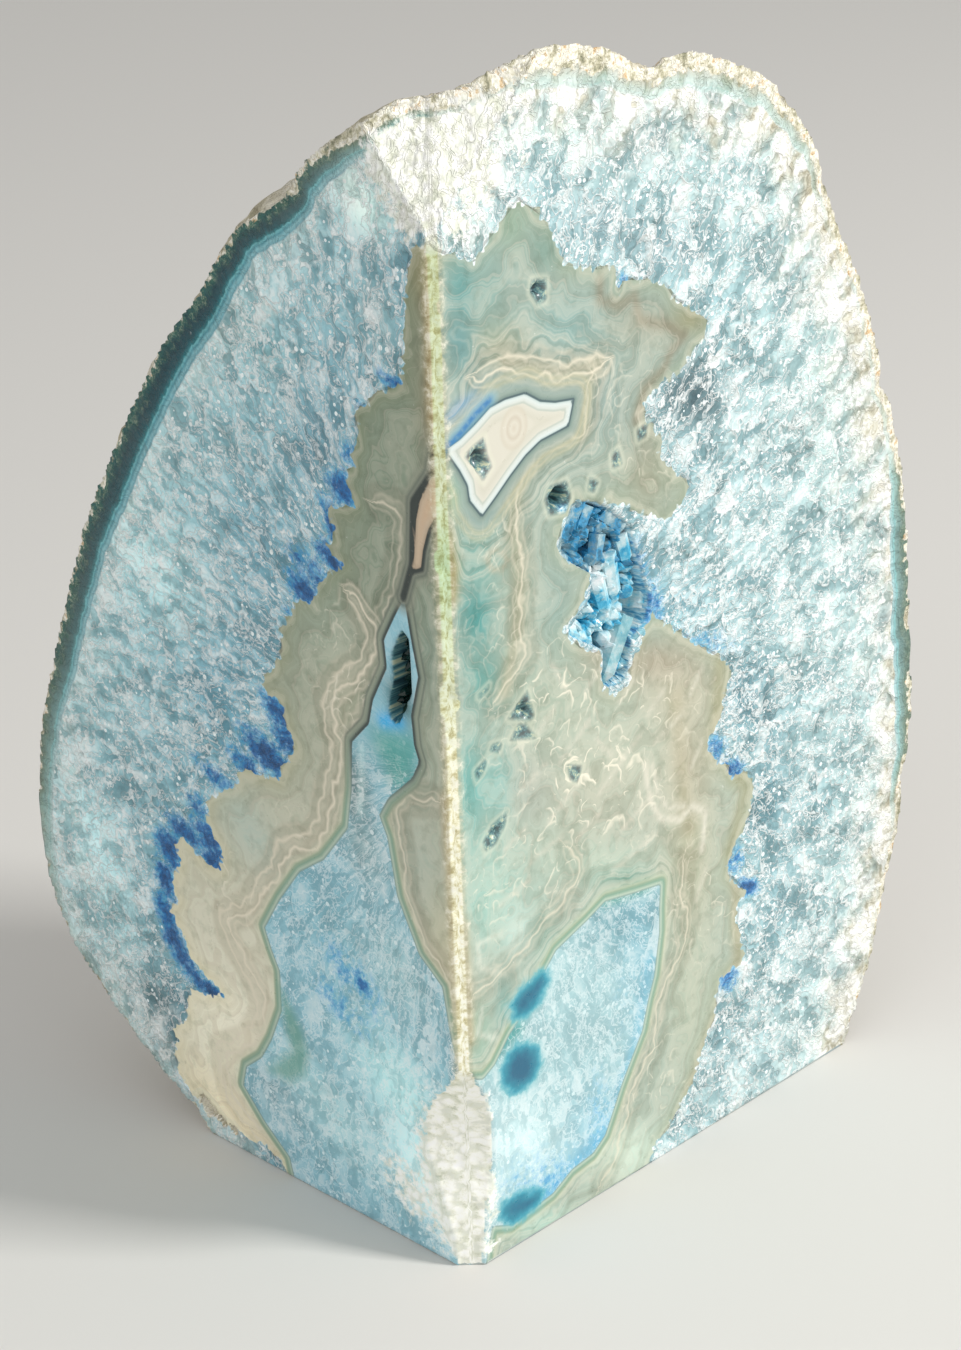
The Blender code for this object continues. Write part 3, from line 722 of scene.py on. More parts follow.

# Where broken white quartz shows beside the two worn facets, and at the top of the left face painted light
# where the top facet would face the lamp: x, y, half width, half height, strength
chalkAndLightZones = {
    -1: [
        # the first two are partly painted light: white where the top facet's left part would catch the light
        (388, 165, 24, 46, 0.9), (406, 214, 18, 30, 0.85), (446, 1180, 26, 70, 0.95),
        (410, 1190, 30, 30, 0.6),
        (456, 1236, 26, 26, 0.8),
    ],
    1: [
        (474, 170, 28, 50, 0.8), (456, 222, 16, 20, 0.8), (500, 110, 30, 26, 0.5), (520, 150, 20, 40, 0.35),
        (486, 1120, 7, 30, 0.7), (490, 1190, 8, 40, 0.7), (478, 1244, 20, 16, 0.7),
    ],
}

# Height up the stone, then width of the skin, of the dark agate under it and of the pale line, in
# millimetres, and how deep the dye of that agate is
rimBands = {
    -1: [
        (0.0, 0.5, 0.6, 0.3, 0.0), (20.0, 0.6, 0.8, 0.4, 0.05), (38.0, 0.7, 1.2, 0.8, 0.2),
        (52.0, 0.8, 2.0, 1.0, 0.5), (66.0, 1.0, 2.4, 1.1, 0.8), (90.0, 1.1, 2.9, 1.2, 0.95),
        (110.0, 0.9, 3.0, 1.2, 1.0), (124.0, 1.0, 2.4, 1.3, 1.0), (134.0, 1.0, 1.9, 1.1, 0.95),
        (142.0, 1.2, 1.5, 1.1, 0.75), (147.0, 1.7, 0.8, 0.9, 0.35), (156.0, 2.6, 0.6, 0.4, 0.1),
    ],
    1: [
        (0.0, 0.7, 0.3, 0.2, 0.0), (30.0, 1.0, 0.4, 0.2, 0.0), (46.0, 0.9, 1.4, 0.8, 0.45),
        (58.0, 0.8, 2.0, 0.9, 0.6), (76.0, 0.8, 2.0, 0.8, 0.55), (88.0, 1.3, 0.5, 0.3, 0.1),
        (120.0, 1.4, 0.3, 0.2, 0.0), (134.0, 1.4, 0.9, 0.3, 0.15), (145.0, 1.8, 1.1, 0.4, 0.15),
        (152.0, 2.2, 1.1, 0.4, 0.12), (156.0, 2.2, 0.9, 0.3, 0.1),
    ],
}


def softSpot(place, side, x, y, halfWidth, halfHeight):
    middle = onFace([(x, y)], side)[0]
    corner = onFace([(x + halfWidth, y - halfHeight)], side)[0]
    halves = numpy.abs(corner - middle)
    tilt = (onFace([(x + halfWidth, y)], side)[0] - middle)[1] / max(0.1, abs(halves[0]))
    offset = place - middle
    offset[:, 1] -= offset[:, 0] * tilt * numpy.sign(side)
    halves[1] = max(0.5, abs((onFace([(x, y - halfHeight)], side)[0] - middle)[1]))
    return numpy.exp(-((offset / halves) ** 2).sum(axis=1))


def tinted(place, side, ground, tints):
    for x, y, halfWidth, halfHeight, code, strength in tints:
        share = softSpot(place, side, x, y, halfWidth, halfHeight) * strength
        ground += (numpy.array(colour(code)) - ground) * share[:, None]
    return ground


def stroked(place, side, ground, strokes):
    for pixels, halfWidth, code, strength in strokes:
        distance = segmentDistance(place, onFace(pixels, side), False)
        share = numpy.exp(-((distance / halfWidth) ** 2)) * strength
        ground += (numpy.array(colour(code)) - ground) * share[:, None]
    return ground


def storeField(item, name, values):
    kinds = {1: ("FLOAT", "value"), 3: ("FLOAT_VECTOR", "vector"), 4: ("FLOAT_COLOR", "color")}
    kind, slot = kinds[values.size // len(values)]
    field = item.data.attributes.new(name, kind, "POINT")
    field.data.foreach_set(slot, values.astype(numpy.float32).ravel())


def markFace(fields, place, chosen, side, marks):
    here = place[chosen]
    agate = edgeDistance(here, onFace(marks["agate"], side))
    inner = edgeDistance(here, onFace(marks["innerQuartz"], side))
    fields["agateEdge"][chosen] = agate
    fields["innerEdge"][chosen] = inner
    ribbon = 7.5 if side < 0 else 9.5
    nearOuter = 1.0 / (0.6 + numpy.abs(agate)) ** 2
    nearInner = 1.0 / (0.6 + numpy.abs(inner)) ** 2
    banding = agate * nearOuter + (ribbon + inner) * nearInner
    total = nearOuter + nearInner
    if side < 0:
        seam = segmentDistance(here, onFace(marks["seam"], side), False)
        sliver = edgeDistance(here, onFace(marks["sliver"], side))
        fields["sliverEdge"][chosen] = numpy.maximum(sliver, -seam)
        fields["greenWedge"][chosen] = edgeDistance(here, onFace(marks["greenWedge"], side))
    else:
        patch = edgeDistance(here, onFace(marks["whitePatch"], side))
        fields["patchEdge"][chosen] = patch
        nearPatch = 1.0 / (0.6 + numpy.abs(patch)) ** 2
        banding += (13.0 + patch) * nearPatch
        total += nearPatch
        fields["blueStroke"][chosen] = -segmentDistance(here, onFace(marks["blueStroke"], side), False)
        pools = [edgeDistance(here, onFace(pool, side)) for pool in marks["pools"]]
        fields["poolEdge"][chosen] = numpy.max(pools, axis=0)
        pits = [edgeDistance(here, onFace(pit, side)) for pit in marks["pits"]]
        fields["pitEdge"][chosen] = numpy.max(pits, axis=0)
    fields["banding"][chosen] = banding / total
    nearest = numpy.full(len(here), 20.0)
    for count, line in enumerate(marks["growthLines"]):
        distance = sideDistance(here, onFace(line, side))
        fields["growthLine" + str(count)][chosen] = distance
        nearest = numpy.minimum(nearest, numpy.abs(distance))
    fields["growthNear"][chosen] = nearest
    for name, zones in (("blueStain", blueStains), ("lace", laceZones), ("chalkAndLight", chalkAndLightZones)):
        wide = 1.25 if name == "blueStain" else 1.0
        share = numpy.zeros(len(here))
        for x, y, halfWidth, halfHeight, strength in zones[side]:
            spot = softSpot(here, side, x, y, halfWidth * wide, halfHeight * wide)
            share = numpy.maximum(share, spot * strength)
        fields[name][chosen] = share


def rimNumbers(rim, height, side):
    table = numpy.array(rimBands[side])
    skin, dark, pale, depth = [numpy.interp(height, table[:, 0], values) for values in table.T[1:]]
    place = numpy.where(rim < skin, rim / skin, 1.0 + (rim - skin) / dark)
    place = numpy.where(rim > skin + dark, 2.0 + (rim - skin - dark) / pale, place)
    return numpy.minimum(place, 6.0), depth


def markStone(item):
    points, normals = readPoints(item)
    zones = sortPoints(points, normals)
    place = zones["place"]
    rim = rimDistance(points, zones)
    names = [
        "agateEdge", "innerEdge", "sliverEdge", "patchEdge", "greenWedge", "poolEdge", "banding", "blueStain",
        "lace", "rimBand", "rimDye", "growthLine0", "growthLine1", "growthLine2", "growthLine3", "blueStroke",
        "pitEdge", "growthNear", "chalkAndLight",
    ]
    fields = {name: numpy.zeros(len(points)) for name in names}
    for name in ("sliverEdge", "patchEdge", "greenWedge", "poolEdge", "blueStroke", "pitEdge"):
        fields[name] -= 20.0
    fields["growthLine3"] += 20.0
    agateGround = numpy.ones((len(points), 4))
    quartzGround = numpy.ones((len(points), 4))
    for side, marks in ((-1, leftMarks), (1, rightMarks)):
        chosen = zones["left"] if side < 0 else ~zones["left"]
        markFace(fields, place, chosen, side, marks)
        here = place[chosen]
        name = "left" if side < 0 else "right"
        agate = fields["agateEdge"][chosen]
        if side < 0:
            low = numpy.clip((100.0 - here[:, 1]) / 75.0, 0.0, 1.0)[:, None]
            top = numpy.array(colour(faceColours["leftAgateTop"]))
            foot = numpy.array(colour(faceColours["leftAgateFoot"]))
            ground = top + (foot - top) * low ** 1.5
        else:
            ground = numpy.tile(numpy.array(colour(faceColours["rightAgate"])), (len(here), 1))
        nearEdge = numpy.exp(-((numpy.maximum(0.0, agate) / 1.6) ** 2))[:, None] * 0.4
        ground *= 1.0 - nearEdge * numpy.array([0.05, 0.14, 0.4, 0.0])
        ground = tinted(here, side, ground, agateTints[side])
        agateGround[chosen] = stroked(here, side, ground, agateStrokes[side])
        ground = numpy.tile(numpy.array(colour(faceColours[name + "Quartz"])), (len(here), 1))
        reach = rim[chosen] / (rim[chosen] + numpy.maximum(0.5, -agate))
        pale = numpy.clip(1.0 - reach * 1.15, 0.0, 1.0)[:, None]
        ground += (numpy.array(colour(faceColours[name + "QuartzPale"])) - ground) * pale
        ground = tinted(here, side, ground, quartzTints[side])
        quartzGround[chosen] = stroked(here, side, ground, quartzStrokes[side])
        low = numpy.clip((105.0 - here[:, 1]) / 45.0, 0.0, 1.0)[:, None]
        top = numpy.array(faceColours[name + "AgateLiftTop"])
        agateGround[chosen, :3] *= top + (numpy.array(faceColours[name + "AgateLift"]) - top) * low
        quartzGround[chosen, :3] *= faceColours[name + "QuartzLift"]
        band, dye = rimNumbers(rim[chosen], here[:, 1], side)
        fields["rimBand"][chosen] = band
        fields["rimDye"][chosen] = dye
    for name, values in fields.items():
        storeField(item, name, values)
    facet = zones["worn"] & (place[:, 1] > 136.0)
    worn = zones["worn"].astype(float)
    worn[facet] *= numpy.clip((rim[facet] - 2.2) / 0.8, 0.0, 1.0)
    storeField(item, "worn", worn)
    storeField(item, "hollow", zones["hollow"].astype(float))
    storeField(item, "rim", rim)
    storeField(item, "agateGround", agateGround)
    storeField(item, "quartzGround", quartzGround)
    shownPlace = place.copy()
    shownPlace[facet, 0] = points[facet, 0] * 1.2
    storeField(item, "facePlace", numpy.column_stack([shownPlace, zones["depth"]]))
    centre = numpy.array([0.0, 72.0])
    spoke = place - centre
    angle = numpy.arctan2(spoke[:, 0], spoke[:, 1])
    radius = numpy.hypot(spoke[:, 0], spoke[:, 1])
    storeField(item, "growth", numpy.column_stack([angle * 40.0, radius, zones["depth"]]))
    return zones


# Node materials

# Adds a node, named with its operation if it has one. Inputs come in order or under their own names,
# which start with a capital: a value, a colour code, a socket or a node. Settings are in small letters.
def addNode(tree, kind, *inOrder, **named):
    name, *operation = kind.split()
    node = tree.nodes.new("ShaderNode" + name)
    if operation:
        node.operation = operation[0]
    for key in [key for key in named if key[0].islower()]:
        setattr(node, key, named.pop(key))
    sockets = [(node.inputs[count], value) for count, value in enumerate(inOrder)]
    for key, value in named.items():
        sockets.append((next(s for s in node.inputs if s.name == key and s.enabled), value))
    for socket, value in sockets:
        if isinstance(value, bpy.types.Node):
            value = next(s for s in value.outputs if s.enabled)
        if isinstance(value, bpy.types.NodeSocket):
            tree.links.new(value, socket)
        else:
            socket.default_value = colour(value) if isinstance(value, str) else value
    return node


# A ramp whose stops are in the unit of its source: millimetres for a distance
def addBands(tree, source, stops, interpolation="LINEAR"):
    low = stops[0][0]
    high = stops[-1][0]
    scaled = addNode(tree, "MapRange", source, low, high, 0.0, 1.0)
    ramp = addNode(tree, "ValToRGB", scaled)
    ramp.color_ramp.interpolation = interpolation
    elements = ramp.color_ramp.elements
    while len(elements) < len(stops):
        elements.new(0.5)
    for element, (place, tone) in zip(elements, stops):
        element.position = (place - low) / (high - low)
    for element, (place, tone) in zip(elements, stops):
        element.color = colour(tone) if isinstance(tone, str) else (tone, tone, tone, 1.0)
    return ramp.outputs["Color"]


def newMaterial(name):
    material = bpy.data.materials.new(name)
    material.use_nodes = True
    tree = material.node_tree
    return material, tree, tree.nodes["Principled BSDF"]


def readField(tree, name, part="Fac"):
    return addNode(tree, "Attribute", attribute_name=name).outputs[part]


# The face patterns are flat, so their textures are worked out in two dimensions, which renders sooner
flatNoise = {"noise_dimensions": "2D"}
flatCells = {"voronoi_dimensions": "2D"}


# How far across its own cell a point lies, along a way that differs from cell to cell
def addTilt(tree, spot, cells):
    offset = addNode(tree, "VectorMath SUBTRACT", spot, cells.outputs["Position"])
    way = addNode(tree, "VectorMath SUBTRACT", cells.outputs["Color"], (0.5, 0.5, 0.5))
    return addNode(tree, "VectorMath DOT_PRODUCT", offset, way).outputs["Value"]


def mixColour(tree, share, under, over, way="MIX"):
    mixed = addNode(tree, "Mix", Factor=share, A=under, B=over, data_type="RGBA", blend_type=way)
    return mixed.outputs[2]


# Dyed quartz: interlocked crystals grown inwards from the skin, cut and polished. The eye sees smooth
# blue-grey blocks edged in white, streaked by finer grains, with painted glints: white specks in the
# colour where a facet would catch light.
def quartzColour(tree, growth, place):
    ground = readField(tree, "quartzGround", "Color")
    rim = readField(tree, "rim")
    # grains about 0.9 mm wide and 4 mm long, all leaning away from the middle of the stone
    stretched = addNode(tree, "VectorMath MULTIPLY", growth, (1.1, 0.24, 0.0))
    waver = addNode(tree, "TexNoise", Vector=place, Scale=0.33, Detail=2.0, Roughness=0.6, **flatNoise)
    bent = addNode(tree, "VectorMath MULTIPLY_ADD", waver.outputs["Color"], (2.7, 2.0, 0.0), stretched)
    grains = addNode(tree, "TexVoronoi", Vector=bent, Scale=1.0, **flatCells)
    grainTone = addNode(tree, "SeparateColor", grains.outputs["Color"])
    facet = addTilt(tree, bent, grains)
    # blocks 4 to 6 mm across, each shaded from one side to the other, with white ridges between
    stirred = addNode(tree, "VectorMath MULTIPLY_ADD", waver.outputs["Color"], (7.0, 7.0, 0.0), place)
    blocks = addNode(tree, "TexVoronoi", Vector=stirred, Scale=0.2, **flatCells)
    blockTilt = addTilt(tree, stirred, blocks)
    borders = addNode(tree, "TexVoronoi", Vector=stirred, Scale=0.2, feature="DISTANCE_TO_EDGE", **flatCells)
    streaks = addNode(tree, "TexNoise", Vector=bent, Scale=0.8, Detail=3.0, Roughness=0.55, **flatNoise)
    clumps = addNode(tree, "TexNoise", Vector=place, Scale=0.2, Detail=4.0, Roughness=0.52, **flatNoise)
    sugar = addNode(tree, "TexNoise", Vector=place, Scale=2.6, Detail=3.0, Roughness=0.7, **flatNoise)
    tone = addNode(tree, "Math MULTIPLY_ADD", grainTone, 0.07, 0.058)
    for part, share in ((streaks, 0.44), (sugar, 0.1), (clumps, 0.24), (blockTilt, 0.09)):
        tone = addNode(tree, "Math MULTIPLY_ADD", part, share, tone)
    apart = addNode(tree, "SeparateXYZ", place)
    # painted light: the pale grains and white seams are a little fainter on the left face, which lies in
    # shade
    sunny = addNode(tree, "MapRange", apart.outputs["X"], -2.0, 2.0, 0.9, 1.0)
    shade = addBands(
        tree, tone, [(0.3, 1.0), (0.4, 0.75), (0.46, 0.35), (0.52, 0.05), (0.56, 0.0), (0.8, 0.0)]
    )
    light = addBands(tree, tone, [(0.3, 0.0), (0.5, 0.0), (0.56, 0.25), (0.62, 0.6), (0.72, 0.9)])
    glassy = mixColour(tree, shade, ground, "#b2c2c6", "MULTIPLY")
    paler = addNode(tree, "Math MULTIPLY", light, sunny)
    sugary = mixColour(tree, paler, glassy, "#f6faf8")
    edges = addBands(tree, borders, [(0.0, 0.75), (0.025, 0.5), (0.06, 0.0), (1.0, 0.0)])
    veins = addBands(
        tree, streaks, [(0.2, 0.0), (0.465, 0.0), (0.49, 0.8), (0.5, 0.8), (0.525, 0.0), (0.8, 0.0)]
    )
    threads = addBands(
        tree, clumps,
        [
            (0.4, 0.0), (0.455, 0.0), (0.468, 0.8), (0.482, 0.0), (0.522, 0.0), (0.536, 0.8), (0.55, 0.0),
            (0.6, 0.0),
        ],
    )
    lines = addNode(tree, "Math MAXIMUM", veins, threads)
    seam = addNode(tree, "Math MAXIMUM", edges, lines)
    runs = addBands(tree, streaks, [(0.36, 0.2), (0.46, 1.0), (1.0, 1.0)])
    seamShare = addNode(tree, "Math MULTIPLY", seam, runs)
    seamLight = addNode(tree, "Math MULTIPLY", seamShare, sunny)
    seamed = mixColour(tree, seamLight, sugary, "#fafdfc")
    # painted shade: grey spots of 1 to 3 mm between the blocks, where small glassy hollows would lie in shade
    hollowShade = addBands(tree, clumps, [(0.2, 0.9), (0.34, 0.6), (0.39, 0.2), (0.43, 0.0), (0.8, 0.0)])
    hollowShadeShare = addNode(tree, "Math MULTIPLY", hollowShade, 0.45)
    hollowShaded = mixColour(tree, hollowShadeShare, seamed, "#a7b5b5", "MULTIPLY")
    # painted glints: white specks 0.2 to 0.6 mm across
    specks = addNode(tree, "TexVoronoi", Vector=place, Scale=0.9, **flatCells)
    speckPick = addNode(tree, "SeparateColor", specks.outputs["Color"])
    speckSize = addNode(tree, "Math MULTIPLY_ADD", speckPick, 0.2, 0.1)
    small = addNode(tree, "Math LESS_THAN", specks.outputs["Distance"], speckSize)
    rare = addNode(tree, "Math GREATER_THAN", speckPick.outputs["Green"], 0.82)
    paintedGlint = addNode(tree, "Math MULTIPLY", small, rare)
    paintedGlints = mixColour(tree, paintedGlint, hollowShaded, "#f2fcfc")
    # creamy broken quartz under the skin, wider on the right face
    ragged = addNode(tree, "Math MULTIPLY_ADD", clumps, -16.0, 8.0)
    inwards = addNode(tree, "Math ADD", rim, ragged)
    creamy = addBands(tree, inwards, [(0.0, 0.95), (3.0, 0.85), (6.0, 0.4), (10.0, 0.0), (20.0, 0.0)])
    wide = addNode(tree, "MapRange", apart.outputs["X"], -2.0, 2.0, 0.35, 1.0)
    creamShare = addNode(tree, "Math MULTIPLY", creamy, wide)
    creamTone = addBands(
        tree, streaks,
        [(0.3, "#a9a086"), (0.4, "#cdc7b2"), (0.46, "#e4e1d3"), (0.53, "#f4f2e9"), (0.7, "#fefefa")],
    )
    creamed = mixColour(tree, creamShare, paintedGlints, creamTone)
    leaning = addNode(tree, "Math MULTIPLY", facet, 0.35)
    relief = addNode(tree, "Math MULTIPLY_ADD", streaks, 0.55, leaning)
    blocky = addNode(tree, "Math MULTIPLY_ADD", blockTilt, 0.6, relief)
    raised = addNode(tree, "Math MULTIPLY_ADD", seam, 0.2, blocky)
    return creamed, raised, grainTone.outputs["Red"]


# The blue dye that soaked in between the quartz and the agate, darkest right at the boundary
def dyedQuartz(tree, quartz, grain, place):
    stain = readField(tree, "blueStain")
    patchy = addNode(tree, "TexNoise", Vector=place, Scale=0.9, Detail=5.0, Roughness=0.7, **flatNoise)
    uneven = addNode(tree, "Math MULTIPLY_ADD", patchy, 1.3, -0.75)
    broken = addNode(tree, "Math MULTIPLY_ADD", grain, 0.25, uneven)
    gate = addNode(tree, "MapRange", stain, 0.05, 0.3, 0.0, 1.0)
    moved = addNode(tree, "Math MULTIPLY", broken, gate)
    soaked = addNode(tree, "Math ADD", stain, moved)
    amount = addBands(tree, soaked, [(0.1, 0.0), (0.4, 0.6), (0.7, 0.95), (1.1, 1.0)])
    blue = addBands(
        tree, soaked,
        [(0.1, "#8fcbe0"), (0.34, "#2fa6da"), (0.52, "#0088c6"), (0.72, "#0068ac"), (1.05, "#004a80")],
    )
    return mixColour(tree, amount, quartz, blue)


# Banded agate: dense fibrous chalcedony, waxy and slightly see-through, in thin wavy layers
def agateColour(tree, place):
    ground = readField(tree, "agateGround", "Color")
    banding = readField(tree, "banding")
    wobble = addNode(tree, "TexNoise", Vector=place, Scale=0.22, Detail=2.0, **flatNoise)
    lobes = addNode(
        tree, "TexVoronoi", Vector=place, Scale=0.24, Smoothness=0.35, feature="SMOOTH_F1", **flatCells
    )
    shifted = addNode(tree, "Math MULTIPLY_ADD", wobble, 2.2, banding)
    scalloped = addNode(tree, "Math MULTIPLY_ADD", lobes, 1.7, shifted)
    # layers about 1.2 mm thick with finer ones inside them
    layers = addNode(
        tree, "TexNoise", W=scalloped, Scale=0.8, Detail=2.0, Roughness=0.5, noise_dimensions="1D"
    )
    darkShare = addBands(tree, layers, [(0.3, 0.3), (0.42, 0.22), (0.52, 0.0), (0.8, 0.0)])
    paleShare = addBands(tree, layers, [(0.3, 0.0), (0.5, 0.0), (0.6, 0.22), (0.7, 0.32)])
    darker = mixColour(tree, darkShare, ground, "#beb1a2", "MULTIPLY")
    layered = mixColour(tree, paleShare, darker, "#d9d0bd")
    fine = addNode(tree, "TexNoise", W=scalloped, Scale=3.0, Detail=1.0, noise_dimensions="1D")
    fineLine = addBands(tree, fine, [(0.3, 0.0), (0.55, 0.0), (0.63, 0.11), (0.75, 0.15)])
    lined = mixColour(tree, fineLine, layered, "#e6dccb")
    # cloudy depth of the translucent layers
    cloud = addNode(tree, "TexNoise", Vector=place, Scale=0.5, Detail=5.0, Roughness=0.6, **flatNoise)
    cloudShare = addBands(tree, cloud, [(0.3, 0.28), (0.5, 0.0), (0.8, 0.0)])
    clouded = mixColour(tree, cloudShare, lined, "#a8b3a6", "MULTIPLY")

    # pale growth lines, a pair about 1.5 mm apart along the meander and single ones elsewhere
    stirredLine = addNode(tree, "TexNoise", Vector=place, Scale=0.35, Detail=1.0, **flatNoise)
    strayed = addNode(tree, "Math MULTIPLY_ADD", stirredLine, 2.0, -1.0)
    growthShare = 0.0
    for count in range(4):
        distance = readField(tree, "growthLine" + str(count))
        wavy = addNode(tree, "Math ADD", strayed, distance)
        if count == 0:
            stops = [
                (-3.2, 0.0), (-2.6, 0.3), (-2.2, 0.0), (-1.3, 0.05), (-0.85, 0.75), (-0.45, 0.15), (0.0, 0.3),
                (0.4, 0.15), (0.8, 0.95), (1.2, 0.2), (1.6, 0.1), (2.0, 0.5), (2.4, 0.0),
            ]
        else:
            stops = [
                (-1.5, 0.0), (-1.15, 0.3), (-0.8, 0.0), (-0.35, 0.1), (0.0, 0.75), (0.35, 0.05), (0.8, 0.3),
                (1.2, 0.0),
            ]
        share = addBands(tree, wavy, stops)
        growthShare = addNode(tree, "Math MAXIMUM", growthShare, share)
    near = readField(tree, "growthNear")
    close = addBands(tree, near, [(0.0, 1.0), (2.2, 1.0), (2.9, 0.0), (6.0, 0.0)])
    apart = addNode(tree, "SeparateXYZ", place)
    faint = addNode(tree, "MapRange", apart.outputs["X"], -1.0, 1.0, 1.0, 0.8)
    closeShare = addNode(tree, "Math MULTIPLY", close, faint)
    growthHere = addNode(tree, "Math MULTIPLY", growthShare, closeShare)
    strip = addNode(tree, "Math MULTIPLY", closeShare, 0.3)
    stripped = mixColour(tree, strip, clouded, "#b0a898", "MULTIPLY")
    grown = mixColour(tree, growthHere, stripped, "#e8dfc9")

    # healed cracks: thin pale crescents 2 to 5 mm long, one side of each in shade
    lace = readField(tree, "lace")
    stirred = addNode(tree, "VectorMath MULTIPLY_ADD", wobble.outputs["Color"], (4.0, 4.0, 0.0), place)
    laceShare = 0.0
    for scale, ring in ((0.22, 0.38), (0.36, 0.36), (0.62, 0.3)):
        crescents = addNode(tree, "TexVoronoi", Vector=stirred, Scale=scale, **flatCells)
        pick = addNode(tree, "SeparateColor", crescents.outputs["Color"])
        arc = addBands(
            tree, crescents.outputs["Distance"],
            [(0.0, 0.0), (ring - 0.1, 0.0), (ring, 1.0), (ring + 0.05, 0.0), (1.0, 0.0)],
        )
        facing = addTilt(tree, stirred, crescents)
        oneSide = addNode(tree, "MapRange", facing, 0.05, 0.25, 0.0, 1.0)
        chosen = addNode(tree, "Math GREATER_THAN", pick.outputs["Green"], 0.3)
        crescent = addNode(tree, "Math MULTIPLY", arc, oneSide)
        kept = addNode(tree, "Math MULTIPLY", crescent, chosen)
        laceShare = addNode(tree, "Math MAXIMUM", laceShare, kept)
    healed = addNode(tree, "Math MULTIPLY", laceShare, lace)
    return mixColour(tree, healed, grown, "#f0ead6")


# The skin seen edge-on and the dyed agate just under it
def rimColour(tree, body, place):
    band = readField(tree, "rimBand")
    dye = readField(tree, "rimDye")
    ragged = addNode(tree, "TexNoise", Vector=place, Scale=0.8, Detail=4.0, Roughness=0.6, **flatNoise)
    moved = addNode(tree, "Math MULTIPLY_ADD", ragged, 1.5, -0.75)
    thinner = addNode(tree, "Math MULTIPLY_ADD", dye, 0.32, band)
    torn = addNode(tree, "Math ADD", thinner, moved)
    neat = addNode(tree, "Math MULTIPLY_ADD", moved, 0.12, band)
    deepTeal = addBands(
        tree, neat,
        [
            (0.9, "#2a6a64"), (1.15, "#00474a"), (1.4, "#003c46"), (1.75, "#004c56"), (1.95, "#1a757e"),
            (2.06, "#6fb9c0"), (2.3, "#4d93a1"), (2.6, "#86bfc7"), (2.9, "#6fa9b5"), (3.05, "#a9c8cc"),
        ],
    )
    paleTeal = addBands(
        tree, neat,
        [
            (0.9, "#9b9c80"), (1.3, "#a3bdab"), (1.6, "#a2c6bc"), (1.9, "#b6d2c8"), (2.1, "#a3c9c1"),
            (2.5, "#bdd6ce"), (3.05, "#d3e0dd"),
        ],
    )
    bandTone = mixColour(tree, dye, paleTeal, deepTeal)
    skinTone = addNode(tree, "TexNoise", Vector=place, Scale=0.45, Detail=5.0, Roughness=0.7, **flatNoise)
    skin = addBands(
        tree, skinTone,
        [
            (0.3, "#8a8a70"), (0.4, "#b9b497"), (0.48, "#dfdac4"), (0.56, "#f8f5e9"), (0.65, "#dcc39a"),
            (0.75, "#c49a62"),
        ],
    )
    outside = addBands(tree, torn, [(0.0, 1.0), (0.92, 1.0), (1.08, 0.0), (6.0, 0.0)])
    # olive smears and cream threads that run from the skin into the dark agate
    smear = addBands(
        tree, skinTone,
        [(0.3, "#20584c"), (0.42, "#004c50"), (0.5, "#1f5a48"), (0.54, "#a9b59a"), (0.57, "#2c5f4c")],
    )
    smearShare = addBands(tree, torn, [(0.9, 0.8), (1.3, 0.6), (1.7, 0.0), (6.0, 0.0)])
    smeared = addNode(tree, "Math MULTIPLY", smearShare, dye)
    bandTone = mixColour(tree, smeared, bandTone, smear)
    inBand = addBands(tree, neat, [(0.0, 1.0), (2.95, 1.0), (3.15, 0.0), (6.0, 0.0)])
    strength = addNode(tree, "MapRange", dye, 0.0, 0.25, 0.1, 1.0)
    bandShare = addNode(tree, "Math MULTIPLY", inBand, strength)
    banded = mixColour(tree, bandShare, body, bandTone)
    return mixColour(tree, outside, banded, skin)
